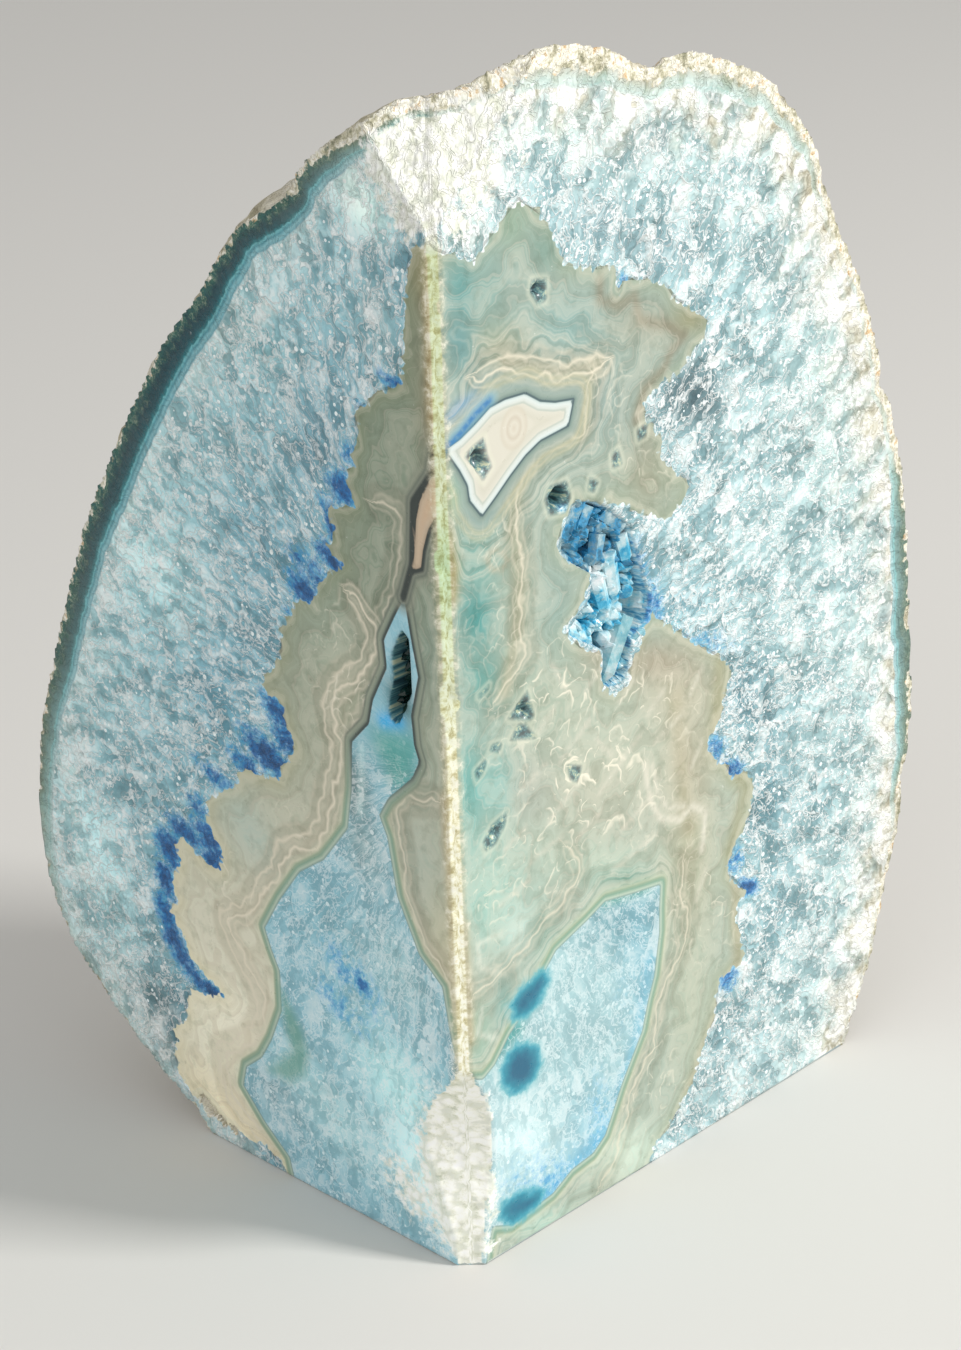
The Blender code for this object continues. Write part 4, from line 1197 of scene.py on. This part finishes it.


# Ground-off ridge and broken quartz: sugary white with ochre caught in it, and on the ridge some painted
# glints
def wornColour(tree, body, place):
    worn = readField(tree, "worn")
    apart = addNode(tree, "SeparateXYZ", place)
    grit = addNode(tree, "TexNoise", Vector=place, Scale=0.7, Detail=5.0, Roughness=0.7, **flatNoise)
    # the white stop of the ridge's grit is partly white ground quartz and partly painted glints
    ridge = addBands(
        tree, grit,
        [
            (0.3, "#b8ae88"), (0.4, "#d6cfb0"), (0.46, "#e8e4cd"), (0.52, "#f6f5e8"), (0.62, "#ffffff"),
            (0.75, "#ece3c2"),
        ],
    )
    ridgeTint = addBands(
        tree, apart.outputs["Y"],
        [
            (30.0, "#fffff4"), (70.0, "#fbfaea"), (88.0, "#e2eed2"), (98.0, "#c8e2bc"), (108.0, "#dce6ca"),
            (136.0, "#ccd8b8"),
        ],
    )
    ridge = mixColour(tree, 1.0, ridge, ridgeTint, "MULTIPLY")
    quartzGrit = addBands(
        tree, grit, [(0.3, "#d9dcd0"), (0.42, "#f8f8ee"), (0.5, "#fffffa"), (0.75, "#ffffff")]
    )
    # lumps about 1.3 mm across, a little grey-green in the hollows between them
    stirredLump = addNode(tree, "VectorMath MULTIPLY_ADD", grit.outputs["Color"], (1.6, 1.6, 0.0), place)
    lumps = addNode(tree, "TexVoronoi", Vector=stirredLump, Scale=0.75, **flatCells)
    lumpTone = addBands(
        tree, lumps.outputs["Distance"],
        [(0.0, "#ffffff"), (0.3, "#fffffc"), (0.46, "#f7f7f0"), (0.62, "#e6e8de"), (1.0, "#e0e3d8")],
    )
    quartz = mixColour(tree, 1.0, quartzGrit, lumpTone, "MULTIPLY")
    up = addBands(
        tree, apart.outputs["Y"],
        [(0.0, 1.0), (27.0, 1.0), (30.0, 0.0), (136.0, 0.0), (138.0, 1.0), (160.0, 1.0)],
    )
    tone = mixColour(tree, up, ridge, quartz)
    near = addNode(tree, "Math ABSOLUTE", apart.outputs["X"])
    ragged = addNode(tree, "Math MULTIPLY_ADD", grit, -3.0, near)
    haloSide = addBands(tree, ragged, [(-1.5, 0.95), (-0.5, 0.8), (-0.1, 0.4), (0.4, 0.1), (1.0, 0.0)])
    notUp = addNode(tree, "Math SUBTRACT", 1.0, up)
    halo = addNode(tree, "Math MULTIPLY", haloSide, notUp)
    haloTone = addBands(
        tree, grit, [(0.3, "#b8a672"), (0.45, "#d6cda4"), (0.6, "#ece7cf"), (0.75, "#fbf7e6")]
    )
    stained = mixColour(tree, halo, body, haloTone)
    # the broken quartz spreads past the facets, with a ragged edge; at the top of the left face this white
    # is partly painted light
    chalkAndLight = readField(tree, "chalkAndLight")
    spread = addNode(tree, "Math MULTIPLY_ADD", grit, 1.4, chalkAndLight)
    chalkAndLightShare = addBands(tree, spread, [(0.0, 0.0), (1.0, 0.0), (1.12, 0.45), (1.25, 0.9), (2.5, 0.95)])
    share = addBands(tree, worn, [(0.0, 0.0), (0.35, 0.0), (0.65, 1.0), (1.0, 1.0)])
    wornTone = mixColour(tree, share, stained, tone)
    return mixColour(tree, chalkAndLightShare, wornTone, quartz)


ringMiddle = onFace([(514, 428)], 1)[0]


# Polished cut face of the dyed agate: glassy, with a waxy depth; it shows quartz, agate and dye
def makeCutFace():
    material, tree, shader = newMaterial("polished dyed agate")
    place = readField(tree, "facePlace", "Vector")
    growth = readField(tree, "growth", "Vector")
    agateEdge = readField(tree, "agateEdge")
    innerEdge = readField(tree, "innerEdge")
    patchEdge = readField(tree, "patchEdge")
    wedge = readField(tree, "greenWedge")
    quartz, relief, grain = quartzColour(tree, growth, place)

    # the inner quartz is calmer, and very still in the channel that leads down from the slit
    apart = addNode(tree, "SeparateXYZ", place)
    high = addNode(tree, "MapRange", apart.outputs["Y"], 60.0, 72.0, 0.0, 1.0)
    onLeft = addNode(tree, "MapRange", apart.outputs["X"], -1.0, 0.0, 1.0, 0.0)
    channel = addNode(tree, "Math MULTIPLY", high, onLeft)
    isInner = addBands(tree, innerEdge, [(-0.08, 0.0), (0.08, 1.0)])
    calm = readField(tree, "quartzGround", "Color")
    still = addNode(tree, "Math MULTIPLY", channel, 0.85)
    calmRight = addNode(tree, "MapRange", apart.outputs["X"], 1.0, 3.0, 0.0, 0.55)
    calmLeft = addNode(tree, "MapRange", apart.outputs["X"], -3.0, -1.0, 0.4, 0.0)
    calmer = addNode(tree, "Math MAXIMUM", calmRight, calmLeft)
    stillness = addNode(tree, "Math MAXIMUM", still, calmer)
    stillHere = addNode(tree, "Math MULTIPLY", stillness, isInner)
    quartz = mixColour(tree, stillHere, quartz, calm)
    quartz = dyedQuartz(tree, quartz, grain, place)
    agate = agateColour(tree, place)

    # crystal tips along the boundary, a little over 1 mm apart
    tips = addNode(tree, "TexVoronoi", Vector=place, Scale=0.8, **flatCells)
    jagged = addNode(tree, "Math MULTIPLY_ADD", tips.outputs["Distance"], 1.2, -0.5)
    edge = addNode(tree, "Math ADD", agateEdge, jagged)
    isAgate = addBands(tree, edge, [(-0.08, 0.0), (0.08, 1.0)])
    outer = mixColour(tree, isAgate, quartz, agate)

    # the dark line high up and the grey-green line low down that lie against the inner quartz
    innerBody = addBands(tree, innerEdge, [(-2.4, 0.0), (-1.5, 0.35), (-1.2, 0.9), (-0.1, 1.0), (3.0, 1.0)])
    lineTone = addBands(
        tree, innerEdge,
        [
            (-2.2, "#b5bda4"), (-1.5, "#cdd0b4"), (-1.1, "#93a98f"), (-0.75, "#7fa38e"), (-0.35, "#b4c6b4"),
            (-0.05, "#7f9c96"), (0.0, "#8aa8a8"),
        ],
    )
    channelTone = addBands(
        tree, innerEdge,
        [
            (-2.2, "#9a9f8c"), (-1.6, "#77806f"), (-1.3, "#59665c"), (-0.95, "#8e9885"), (-0.6, "#7d8a7b"),
            (-0.3, "#3c4a45"), (0.0, "#263633"),
        ],
    )
    eitherTone = mixColour(tree, channel, lineTone, channelTone)
    innerTone = mixColour(tree, isInner, eitherTone, quartz)
    withInner = mixColour(tree, innerBody, outer, innerTone)
    inWedge = addBands(tree, wedge, [(-1.0, 0.0), (0.0, 0.35), (0.9, 0.7), (2.0, 0.75)])
    greened = mixColour(tree, inWedge, withInner, "#6ba391")

    # teal pools of dye
    poolField = readField(tree, "poolEdge")
    murk = addNode(tree, "TexNoise", Vector=place, Scale=0.6, Detail=4.0, Roughness=0.6, **flatNoise)
    pool = addNode(tree, "Math MULTIPLY_ADD", murk, 1.6, poolField)
    pool = addNode(tree, "Math SUBTRACT", pool, 0.8)
    poolShare = addBands(tree, pool, [(-1.0, 0.0), (-0.3, 0.3), (0.1, 0.8), (0.7, 0.95), (4.0, 1.0)])
    poolTone = addBands(
        tree, pool,
        [
            (-1.0, "#a3d3d3"), (0.0, "#56b0bc"), (0.5, "#2a98ae"), (1.0, "#0a8098"), (1.6, "#00708c"),
            (2.4, "#005c7c"),
        ],
    )
    pooled = mixColour(tree, poolShare, greened, poolTone)

    # the cream sliver of the left face, between dark lines
    sliver = readField(tree, "sliverEdge")
    sliverShare = addBands(tree, sliver, [(-2.6, 0.0), (-1.8, 0.4), (-1.0, 0.85), (-0.6, 1.0), (2.0, 1.0)])
    sliverTone = addBands(
        tree, sliver,
        [
            (-2.6, "#8f927f"), (-1.9, "#7d8272"), (-1.5, "#8d917f"), (-1.0, "#646d61"), (-0.7, "#7d8375"),
            (-0.35, "#2f3b37"), (-0.05, "#27322f"), (0.1, "#b9a58c"), (0.5, "#cdb79c"), (1.4, "#d2b493"),
        ],
    )
    slivered = mixColour(tree, sliverShare, pooled, sliverTone)

    # the white patch of the right face: a dark outline, a white rim, cream and peach layers
    patchShare = addBands(tree, patchEdge, [(-3.6, 0.0), (-2.9, 0.45), (-1.0, 0.8), (-0.6, 1.0), (1.0, 1.0)])
    patchTone = addBands(
        tree, patchEdge,
        [
            (-3.6, "#aeb79c"), (-3.0, "#bab795"), (-2.6, "#a5ab94"), (-2.2, "#b5b394"), (-1.7, "#9aa79a"),
            (-1.2, "#8fa199"), (-0.7, "#86998f"), (-0.35, "#6f857f"), (-0.2, "#3b5358"), (-0.05, "#50686c"),
            (0.06, "#b9c9c6"), (0.3, "#d0d9d6"), (0.7, "#cbd1ca"), (0.95, "#b3bcb2"), (1.15, "#cfcdc0"),
            (2.0, "#c7c5b6"), (2.5, "#cecbbd"),
        ],
    )
    layered = mixColour(tree, patchShare, slivered, patchTone)
    ringPlace = addNode(tree, "VectorMath SUBTRACT", place, (*ringMiddle, 0.0))
    ringFlat = addNode(tree, "VectorMath MULTIPLY", ringPlace, (1.0, 0.85, 0.0))
    ringReach = addNode(tree, "VectorMath LENGTH", ringFlat).outputs["Value"]
    ringTone = addBands(
        tree, ringReach,
        [
            (0.0, "#c6bdab"), (0.6, "#d0cbbc"), (1.1, "#c1b8a6"), (1.5, "#d0cbbc"), (2.2, "#c5beac"),
            (2.6, "#cecbbd"),
        ],
    )
    ringShare = addBands(tree, ringReach, [(0.0, 0.8), (2.0, 0.8), (2.6, 0.0), (6.0, 0.0)])
    inPatch = addBands(tree, patchEdge, [(0.7, 0.0), (1.1, 1.0)])
    ringHere = addNode(tree, "Math MULTIPLY", ringShare, inPatch)
    ringed = mixColour(tree, ringHere, layered, ringTone)

    # the deep blue stroke along the upper side of the white patch
    stroke = readField(tree, "blueStroke")
    strokeShare = addBands(tree, stroke, [(-1.7, 0.0), (-1.0, 0.2), (-0.45, 0.5), (-0.2, 0.85), (0.0, 0.9)])
    strokeTone = addBands(
        tree, stroke,
        [(-2.6, "#a9d4dc"), (-1.3, "#86c4dc"), (-0.7, "#5aa8cc"), (-0.35, "#1f80b8"), (0.0, "#1168a4")],
    )
    offPatch = addBands(tree, patchEdge, [(-0.1, 1.0), (0.05, 0.0)])
    strokeHere = addNode(tree, "Math MULTIPLY", strokeShare, offPatch)
    patched = mixColour(tree, strokeHere, ringed, strokeTone)

    # pits and hollows: dark, glassy and stained, each with a pale line round it
    pitTone = addNode(tree, "TexNoise", Vector=place, Scale=1.1, Detail=3.0, Roughness=0.7, **flatNoise)
    pitColour = addBands(
        tree, pitTone,
        [(0.35, "#12303c"), (0.45, "#28525e"), (0.53, "#4c7f86"), (0.6, "#83a59c"), (0.66, "#c2c8a8")],
    )
    pit = readField(tree, "pitEdge")
    pitLine = addBands(tree, pit, [(-0.9, 0.0), (-0.4, 0.3), (-0.1, 0.1), (0.5, 0.0)])
    outlined = mixColour(tree, pitLine, patched, "#dfe2cc")
    pitPaint = addBands(tree, pit, [(-0.25, 0.0), (0.25, 0.75), (1.0, 0.9), (2.0, 0.95)])
    sunk = addBands(tree, apart.outputs["Z"], [(0.0, 0.0), (0.2, 0.0), (0.5, 0.9), (6.0, 1.0)])
    inHollow = readField(tree, "hollow")
    hollowShare = addNode(tree, "Math MULTIPLY", sunk, inHollow)
    pitShare = addNode(tree, "Math MAXIMUM", hollowShare, pitPaint)
    # the walls of the blue hollow are dyed quartz
    wallTone = addBands(
        tree, pitTone,
        [(0.35, "#1b6ca6"), (0.45, "#56aad0"), (0.52, "#9fd0e2"), (0.6, "#cfe8ee"), (0.7, "#f2fafa")],
    )
    far = addBands(tree, apart.outputs["X"], [(19.3, 0.0), (19.9, 1.0)])
    under = addBands(tree, apart.outputs["Y"], [(70.0, 0.0), (70.5, 1.0), (99.2, 1.0), (99.9, 0.0)])
    inBlue = addNode(tree, "Math MULTIPLY", far, under)
    hollowTone = mixColour(tree, inBlue, pitColour, wallTone)
    pitted = mixColour(tree, pitShare, outlined, hollowTone)

    rimmed = rimColour(tree, pitted, place)
    finished = wornColour(tree, rimmed, place)
    tree.links.new(finished, shader.inputs["Base Color"])

    # quartz takes a rougher polish than agate
    worn = readField(tree, "worn")
    polish = addNode(tree, "Mix", Factor=isAgate, A=0.3, B=0.2, data_type="FLOAT")
    grit = addNode(tree, "TexNoise", Vector=place, Scale=0.8, Detail=3.0, **flatNoise)
    uneven = addNode(tree, "Math MULTIPLY_ADD", grit, 0.25, polish)
    roughness = addNode(tree, "Mix", Factor=worn, A=uneven, B=0.7, data_type="FLOAT")
    tree.links.new(roughness.outputs[0], shader.inputs["Roughness"])

    quartzy = addBands(tree, agateEdge, [(-0.4, 1.0), (0.0, 0.0)])
    crackle = addNode(tree, "Math MULTIPLY", relief, quartzy)
    bump = addNode(tree, "Bump", Strength=0.75, Distance=0.0008, Height=crackle)
    tree.links.new(bump.outputs["Normal"], shader.inputs["Normal"])
    shader.inputs["IOR"].default_value = 1.54
    shader.inputs["Coat Weight"].default_value = 0.1
    shader.inputs["Coat Roughness"].default_value = 0.06
    return material


# Natural skin of the nodule: dull, pitted, earthy, with cream, olive and ochre patches
def makeRind():
    material, tree, shader = newMaterial("natural agate rind")
    spot = addNode(tree, "TexCoord").outputs["Object"]
    patches = addNode(tree, "TexNoise", Vector=spot, Scale=75.0, Detail=6.0, Roughness=0.65)
    grains = addNode(tree, "TexNoise", Vector=spot, Scale=500.0, Detail=5.0, Roughness=0.7)
    # pits 3 to 4 mm apart, darker at the bottom, where earth stays
    strayed = addNode(tree, "VectorMath MULTIPLY_ADD", patches.outputs["Color"], (0.02, 0.02, 0.02), spot)
    pits = addNode(tree, "TexVoronoi", Vector=strayed, Scale=280.0)
    earth = addBands(tree, pits.outputs["Distance"], [(0.0, 0.4), (0.2, 0.25), (0.5, 0.0), (1.0, 0.0)])
    both = addNode(tree, "Math MULTIPLY_ADD", grains, 0.35, patches)
    tone = addBands(
        tree, both,
        [
            (0.48, "#8d8871"), (0.58, "#a9a388"), (0.66, "#c6bea3"), (0.73, "#dbd4be"), (0.8, "#eae5d4"),
            (0.88, "#d9c3a0"), (0.98, "#b9945f"),
        ],
    )
    earthy = mixColour(tree, earth, tone, "#8a7a58", "MULTIPLY")
    tree.links.new(earthy, shader.inputs["Base Color"])
    shader.inputs["Roughness"].default_value = 0.82
    height = addNode(tree, "Math MULTIPLY_ADD", pits.outputs["Distance"], 0.9, grains)
    lumpy = addNode(tree, "Math MULTIPLY_ADD", patches, 1.6, height)
    bump = addNode(tree, "Bump", Strength=0.9, Distance=0.0012, Height=lumpy)
    tree.links.new(bump.outputs["Normal"], shader.inputs["Normal"])
    return material


# Sawn base: a flat matt cut with faint saw lines, grey-blue quartz with a cream skin at its edge
def makeBase():
    material, tree, shader = newMaterial("sawn base")
    spot = addNode(tree, "TexCoord").outputs["Object"]
    cloud = addNode(tree, "TexNoise", Vector=spot, Scale=90.0, Detail=5.0, Roughness=0.6)
    rim = readField(tree, "rim")
    inner = addBands(tree, cloud, [(0.3, "#8fa3a8"), (0.5, "#b4c2c2"), (0.7, "#d5dad2")])
    edge = addBands(tree, rim, [(0.0, 1.0), (1.2, 1.0), (1.8, 0.0), (10.0, 0.0)])
    tone = mixColour(tree, edge, inner, "#a39c7b")
    tree.links.new(tone, shader.inputs["Base Color"])
    saw = addNode(tree, "TexWave", Vector=spot, Scale=180.0, Distortion=1.5, Detail=2.0)
    bump = addNode(tree, "Bump", Strength=0.25, Distance=0.0002, Height=saw)
    tree.links.new(bump.outputs["Normal"], shader.inputs["Normal"])
    shader.inputs["Roughness"].default_value = 0.6
    return material


def paintStone(item, zones):
    for material in (makeCutFace(), makeRind(), makeBase()):
        item.data.materials.append(material)
    corners = numpy.empty(len(item.data.loops), dtype=numpy.int32)
    item.data.loops.foreach_get("vertex_index", corners)
    corners = corners.reshape(-1, 3)
    rindShare = zones["rind"][corners].sum(axis=1)
    baseShare = zones["base"][corners].sum(axis=1)
    slots = numpy.zeros(len(corners), dtype=numpy.int32)
    slots[rindShare >= 2] = 1
    slots[baseShare >= 2] = 2
    item.data.polygons.foreach_set("material_index", slots)
    smooth = numpy.ones(len(corners), dtype=bool)
    item.data.polygons.foreach_set("use_smooth", smooth)
    item.data.update()


def finishStone():
    stone = buildStone()
    zones = markStone(stone)
    print("stone marked")
    paintStone(stone, zones)
    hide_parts("geode")
    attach(stone, "root")
    return stone


finishStone()
print("stone finished")


# Crystals of the open pocket: small six-sided quartz points packed side by side, dyed blue, and one
# long clear crystal lying over them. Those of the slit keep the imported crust.

pocketCrystals = {
    "count": 170,
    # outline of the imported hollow: millimetres from the ridge and up
    "outline": [
        (22.5, 99.7), (26.2, 98.6), (28.7, 96.8), (32.6, 93.3), (34.0, 88.2), (36.0, 82.1), (34.9, 79.1),
        (32.6, 77.8), (31.8, 72.8), (28.7, 72.2), (26.8, 73.6), (27.3, 78.0), (24.6, 79.9), (20.4, 82.6),
        (23.2, 84.8), (25.1, 86.0), (25.4, 89.3), (23.1, 90.9), (19.9, 93.4), (20.4, 96.6),
    ],
    "bed": 4.8,  # how deep they are rooted, millimetres behind the face
    "tips": (0.15, 1.3),  # how deep their tips end
    "deepBlue": 89.5,  # above this height the points are deep blue
    "radius": (0.6, 1.5),
    "lean": 0.4,
    "pointLength": 0.28,  # length of a crystal's point, as a share of its shaft
    "edgeRoom": 0.25,  # how far from the pocket's edge the crystals stay
    # bigger crystals lying in the face: foot and tip in pixels, radius in millimetres, colour group
    "lying": [
        [(586, 502), (564, 552), 2.1, "deep"],
        [(594, 508), (582, 540), 1.5, "deep"],
        [(608, 512), (634, 532), 1.5, "deep"],
        [(606, 536), (600, 568), 1.2, "deep"],
        [(572, 634), (600, 646), 1.3, "pale"],
        [(616, 556), (622, 604), 1.3, "pale"],
        [(604, 580), (612, 616), 1.4, "pale"],
        [(628, 536), (634, 566), 1.3, "pale"],
    ],
    "longCrystal": [(606, 690), (632, 618)],
    "longRadius": 1.8,
    "seed": 11,
}


def modelCrystal():
    deselectAll()
    bpy.ops.mesh.primitive_cylinder_add(vertices=6, radius=1.0, depth=1.0, location=(0.0, 0.0, 0.5))
    crystal = bpy.context.active_object
    crystal.name = "crystal_model"
    bpy.ops.object.mode_set(mode="EDIT")
    bpy.ops.mesh.select_all(action="DESELECT")
    bpy.ops.object.mode_set(mode="OBJECT")
    for polygon in crystal.data.polygons:
        polygon.select = polygon.normal.z > 0.9
    bpy.ops.object.mode_set(mode="EDIT")
    bpy.ops.mesh.select_mode(type="FACE")
    bpy.ops.transform.resize(value=(0.86, 0.86, 1.0))
    bpy.ops.mesh.extrude_region_move(
        TRANSFORM_OT_translate={"value": (0.0, 0.0, pocketCrystals["pointLength"])},
    )
    bpy.ops.transform.resize(value=(0.12, 0.12, 1.0))
    bpy.ops.object.mode_set(mode="OBJECT")
    return crystal


def placeOnFace(along, height, depth, side):
    way = numpy.array([1.0, side, 0.0]) / math.sqrt(2.0)
    outward = numpy.array([side, -1.0, 0.0]) / math.sqrt(2.0)
    place = ridgeFoot + way * along - outward * depth
    place[2] = height
    return place


def standCrystal(model, foot, tip, radius, spin):
    mesh = model.data.copy()
    crystal = bpy.data.objects.new("crystal", mesh)
    bpy.context.scene.collection.objects.link(crystal)
    axis = Vector(tip) - Vector(foot)
    turned = axis.to_track_quat("Z", "Y").to_matrix().to_4x4()
    length = axis.length * mm / (1.0 + pocketCrystals["pointLength"])
    size = Matrix.Diagonal((radius * mm, radius * mm, length, 1.0))
    fromFoot = Matrix.Translation((0.0, 0.0, 0.5))  # the model's own middle lies half way up its shaft
    turnedModel = turned @ Matrix.Rotation(spin, 4, "Z") @ size @ fromFoot
    mesh.transform(Matrix.Translation(Vector(foot) * mm) @ turnedModel)
    return crystal


def joinPieces(pieces, name):
    deselectAll()
    for piece in pieces:
        piece.select_set(True)
    bpy.context.view_layer.objects.active = pieces[0]
    bpy.ops.object.join()
    joined = bpy.context.active_object
    joined.name = name
    return joined


# Dyed quartz crystals: clear, glossy, the blue strongest where the dye pooled; the palest tones of their
# ramps are partly painted glints
def makeCrystal(name, stops, roughness, clearness):
    material, tree, shader = newMaterial(name)
    spot = addNode(tree, "TexCoord").outputs["Object"]
    cloud = addNode(tree, "TexNoise", Vector=spot, Scale=330.0, Detail=4.0, Roughness=0.65)
    tone = addBands(tree, cloud, stops)
    tree.links.new(tone, shader.inputs["Base Color"])
    shader.inputs["Roughness"].default_value = roughness
    shader.inputs["IOR"].default_value = 1.54
    shader.inputs["Transmission Weight"].default_value = clearness
    chips = addNode(tree, "TexNoise", Vector=spot, Scale=1500.0, Detail=3.0)
    bump = addNode(tree, "Bump", Strength=0.4, Distance=0.0002, Height=chips)
    tree.links.new(bump.outputs["Normal"], shader.inputs["Normal"])
    return material


def finishCrystals():
    settings = pocketCrystals
    dice = numpy.random.default_rng(settings["seed"])
    model = modelCrystal()
    outline = numpy.array(settings["outline"])
    low = outline.min(axis=0)
    high = outline.max(axis=0)
    crystals = {"deep": [], "pale": []}
    while len(crystals["deep"]) + len(crystals["pale"]) < settings["count"]:
        spot = low + (high - low) * dice.random(2)
        edge = edgeDistance(spot[None, :], outline)[0]
        if edge < settings["edgeRoom"]:
            continue
        lean = (dice.random(2) - 0.5) * 2.0 * settings["lean"]
        foot = placeOnFace(spot[0], spot[1], settings["bed"], 1)
        shallow, deep = settings["tips"]
        tipDepth = shallow + (deep - shallow) * dice.random()
        reach = settings["bed"] - tipDepth
        tip = placeOnFace(spot[0] + lean[0] * reach, spot[1] + lean[1] * reach, tipDepth, 1)
        thin, thick = settings["radius"]
        radius = thin + (thick - thin) * dice.random() ** 2
        group = "deep" if spot[1] + (spot[0] - 27.0) * 0.25 > settings["deepBlue"] else "pale"
        spin = dice.random() * 6.28
        crystals[group].append(standCrystal(model, foot, tip, min(radius, edge + 0.4), spin))
    for start, end, radius, group in settings["lying"]:
        ends = onFace([start, end], 1)
        foot = placeOnFace(ends[0][0], ends[0][1], radius + 0.4, 1)
        tip = placeOnFace(ends[1][0], ends[1][1], radius + 0.1, 1)
        crystals[group].append(standCrystal(model, foot, tip, radius, 0.3))
    # the palest stops, up to white, are partly paler quartz and partly painted glints on the points
    tones = {
        "deep": [
            (0.3, "#14506e"), (0.42, "#2f7a9c"), (0.48, "#3f9ccc"), (0.53, "#6c9fb4"), (0.6, "#a3c2cc"),
            (0.7, "#d4e5e8"),
        ],
        "pale": [
            (0.3, "#0f93c4"), (0.4, "#4db8dc"), (0.46, "#9cd6e6"), (0.53, "#cbe9ef"), (0.62, "#eef8fa"),
            (0.7, "#ffffff"),
        ],
    }
    for group, stops in tones.items():
        bed = joinPieces(crystals[group], group + "_blue_crystals")
        bed.data.materials.append(makeCrystal(group + " blue quartz points", stops, 0.12, 0.1))
        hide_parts("blue_pocket_crystals")
        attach(bed, "root")
    ends = onFace(settings["longCrystal"], 1)
    foot = placeOnFace(ends[1][0], ends[1][1], 1.9, 1)
    tip = placeOnFace(ends[0][0], ends[0][1], 1.3, 1)
    long = standCrystal(model, foot, tip, settings["longRadius"], 0.3)
    long.name = "long_clear_crystal"
    # the white end is partly a painted highlight on the clear crystal
    stops = [(0.3, "#5fb4cc"), (0.45, "#9fdce6"), (0.55, "#d3f2f5"), (0.7, "#ffffff")]
    long.data.materials.append(makeCrystal("clear quartz crystal", stops, 0.04, 0.45))
    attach(long, "root")
    bpy.data.objects.remove(model)
    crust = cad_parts["slit_crystals"]
    crust.data.materials.clear()
    stops = [(0.3, "#06100f"), (0.5, "#12302c"), (0.62, "#35564c"), (0.7, "#8a8a5c")]
    crust.data.materials.append(makeCrystal("dark green quartz crystals", stops, 0.12, 0.1))


finishCrystals()
print("crystals finished")


# Floor and soft studio light

studio = {
    "floor": "#d9d7d2",
    "keyPower": 8.5,
    "fillPower": 2.6,
    "world": 0.5,
}


def makeFloor():
    deselectAll()
    bpy.ops.mesh.primitive_plane_add(size=4.0, location=(0.0, 0.0, 0.0))
    floor = bpy.context.active_object
    floor.name = "studio_floor"
    material = newMaterial("pale paper floor")[0]
    shader = material.node_tree.nodes["Principled BSDF"]
    shader.inputs["Base Color"].default_value = colour(studio["floor"])
    shader.inputs["Roughness"].default_value = 0.9
    floor.data.materials.append(material)


def addLight(name, place, power, size, tone):
    light = bpy.data.lights.new(name, "AREA")
    light.energy = power
    light.size = size
    light.color = tone
    item = bpy.data.objects.new(name, light)
    item.location = place
    aim = Vector((0.0, 0.0, 0.07)) - Vector(place)
    item.rotation_euler = aim.to_track_quat("-Z", "Y").to_euler()
    bpy.context.scene.collection.objects.link(item)


def makeStudio():
    makeFloor()
    addLight("key_light", (0.8, -0.22, 0.62), studio["keyPower"], 0.2, (1.0, 0.99, 0.97))
    addLight("fill_light", (-0.5, -0.75, 0.5), studio["fillPower"], 0.8, (0.96, 0.98, 1.0))
    world = bpy.data.worlds.new("studio_world")
    world.use_nodes = True
    world.node_tree.nodes["Background"].inputs["Color"].default_value = (1.0, 1.0, 1.0, 1.0)
    world.node_tree.nodes["Background"].inputs["Strength"].default_value = studio["world"]
    bpy.context.scene.world = world
    bpy.context.scene.view_settings.view_transform = "Standard"


makeStudio()
print("studio finished")
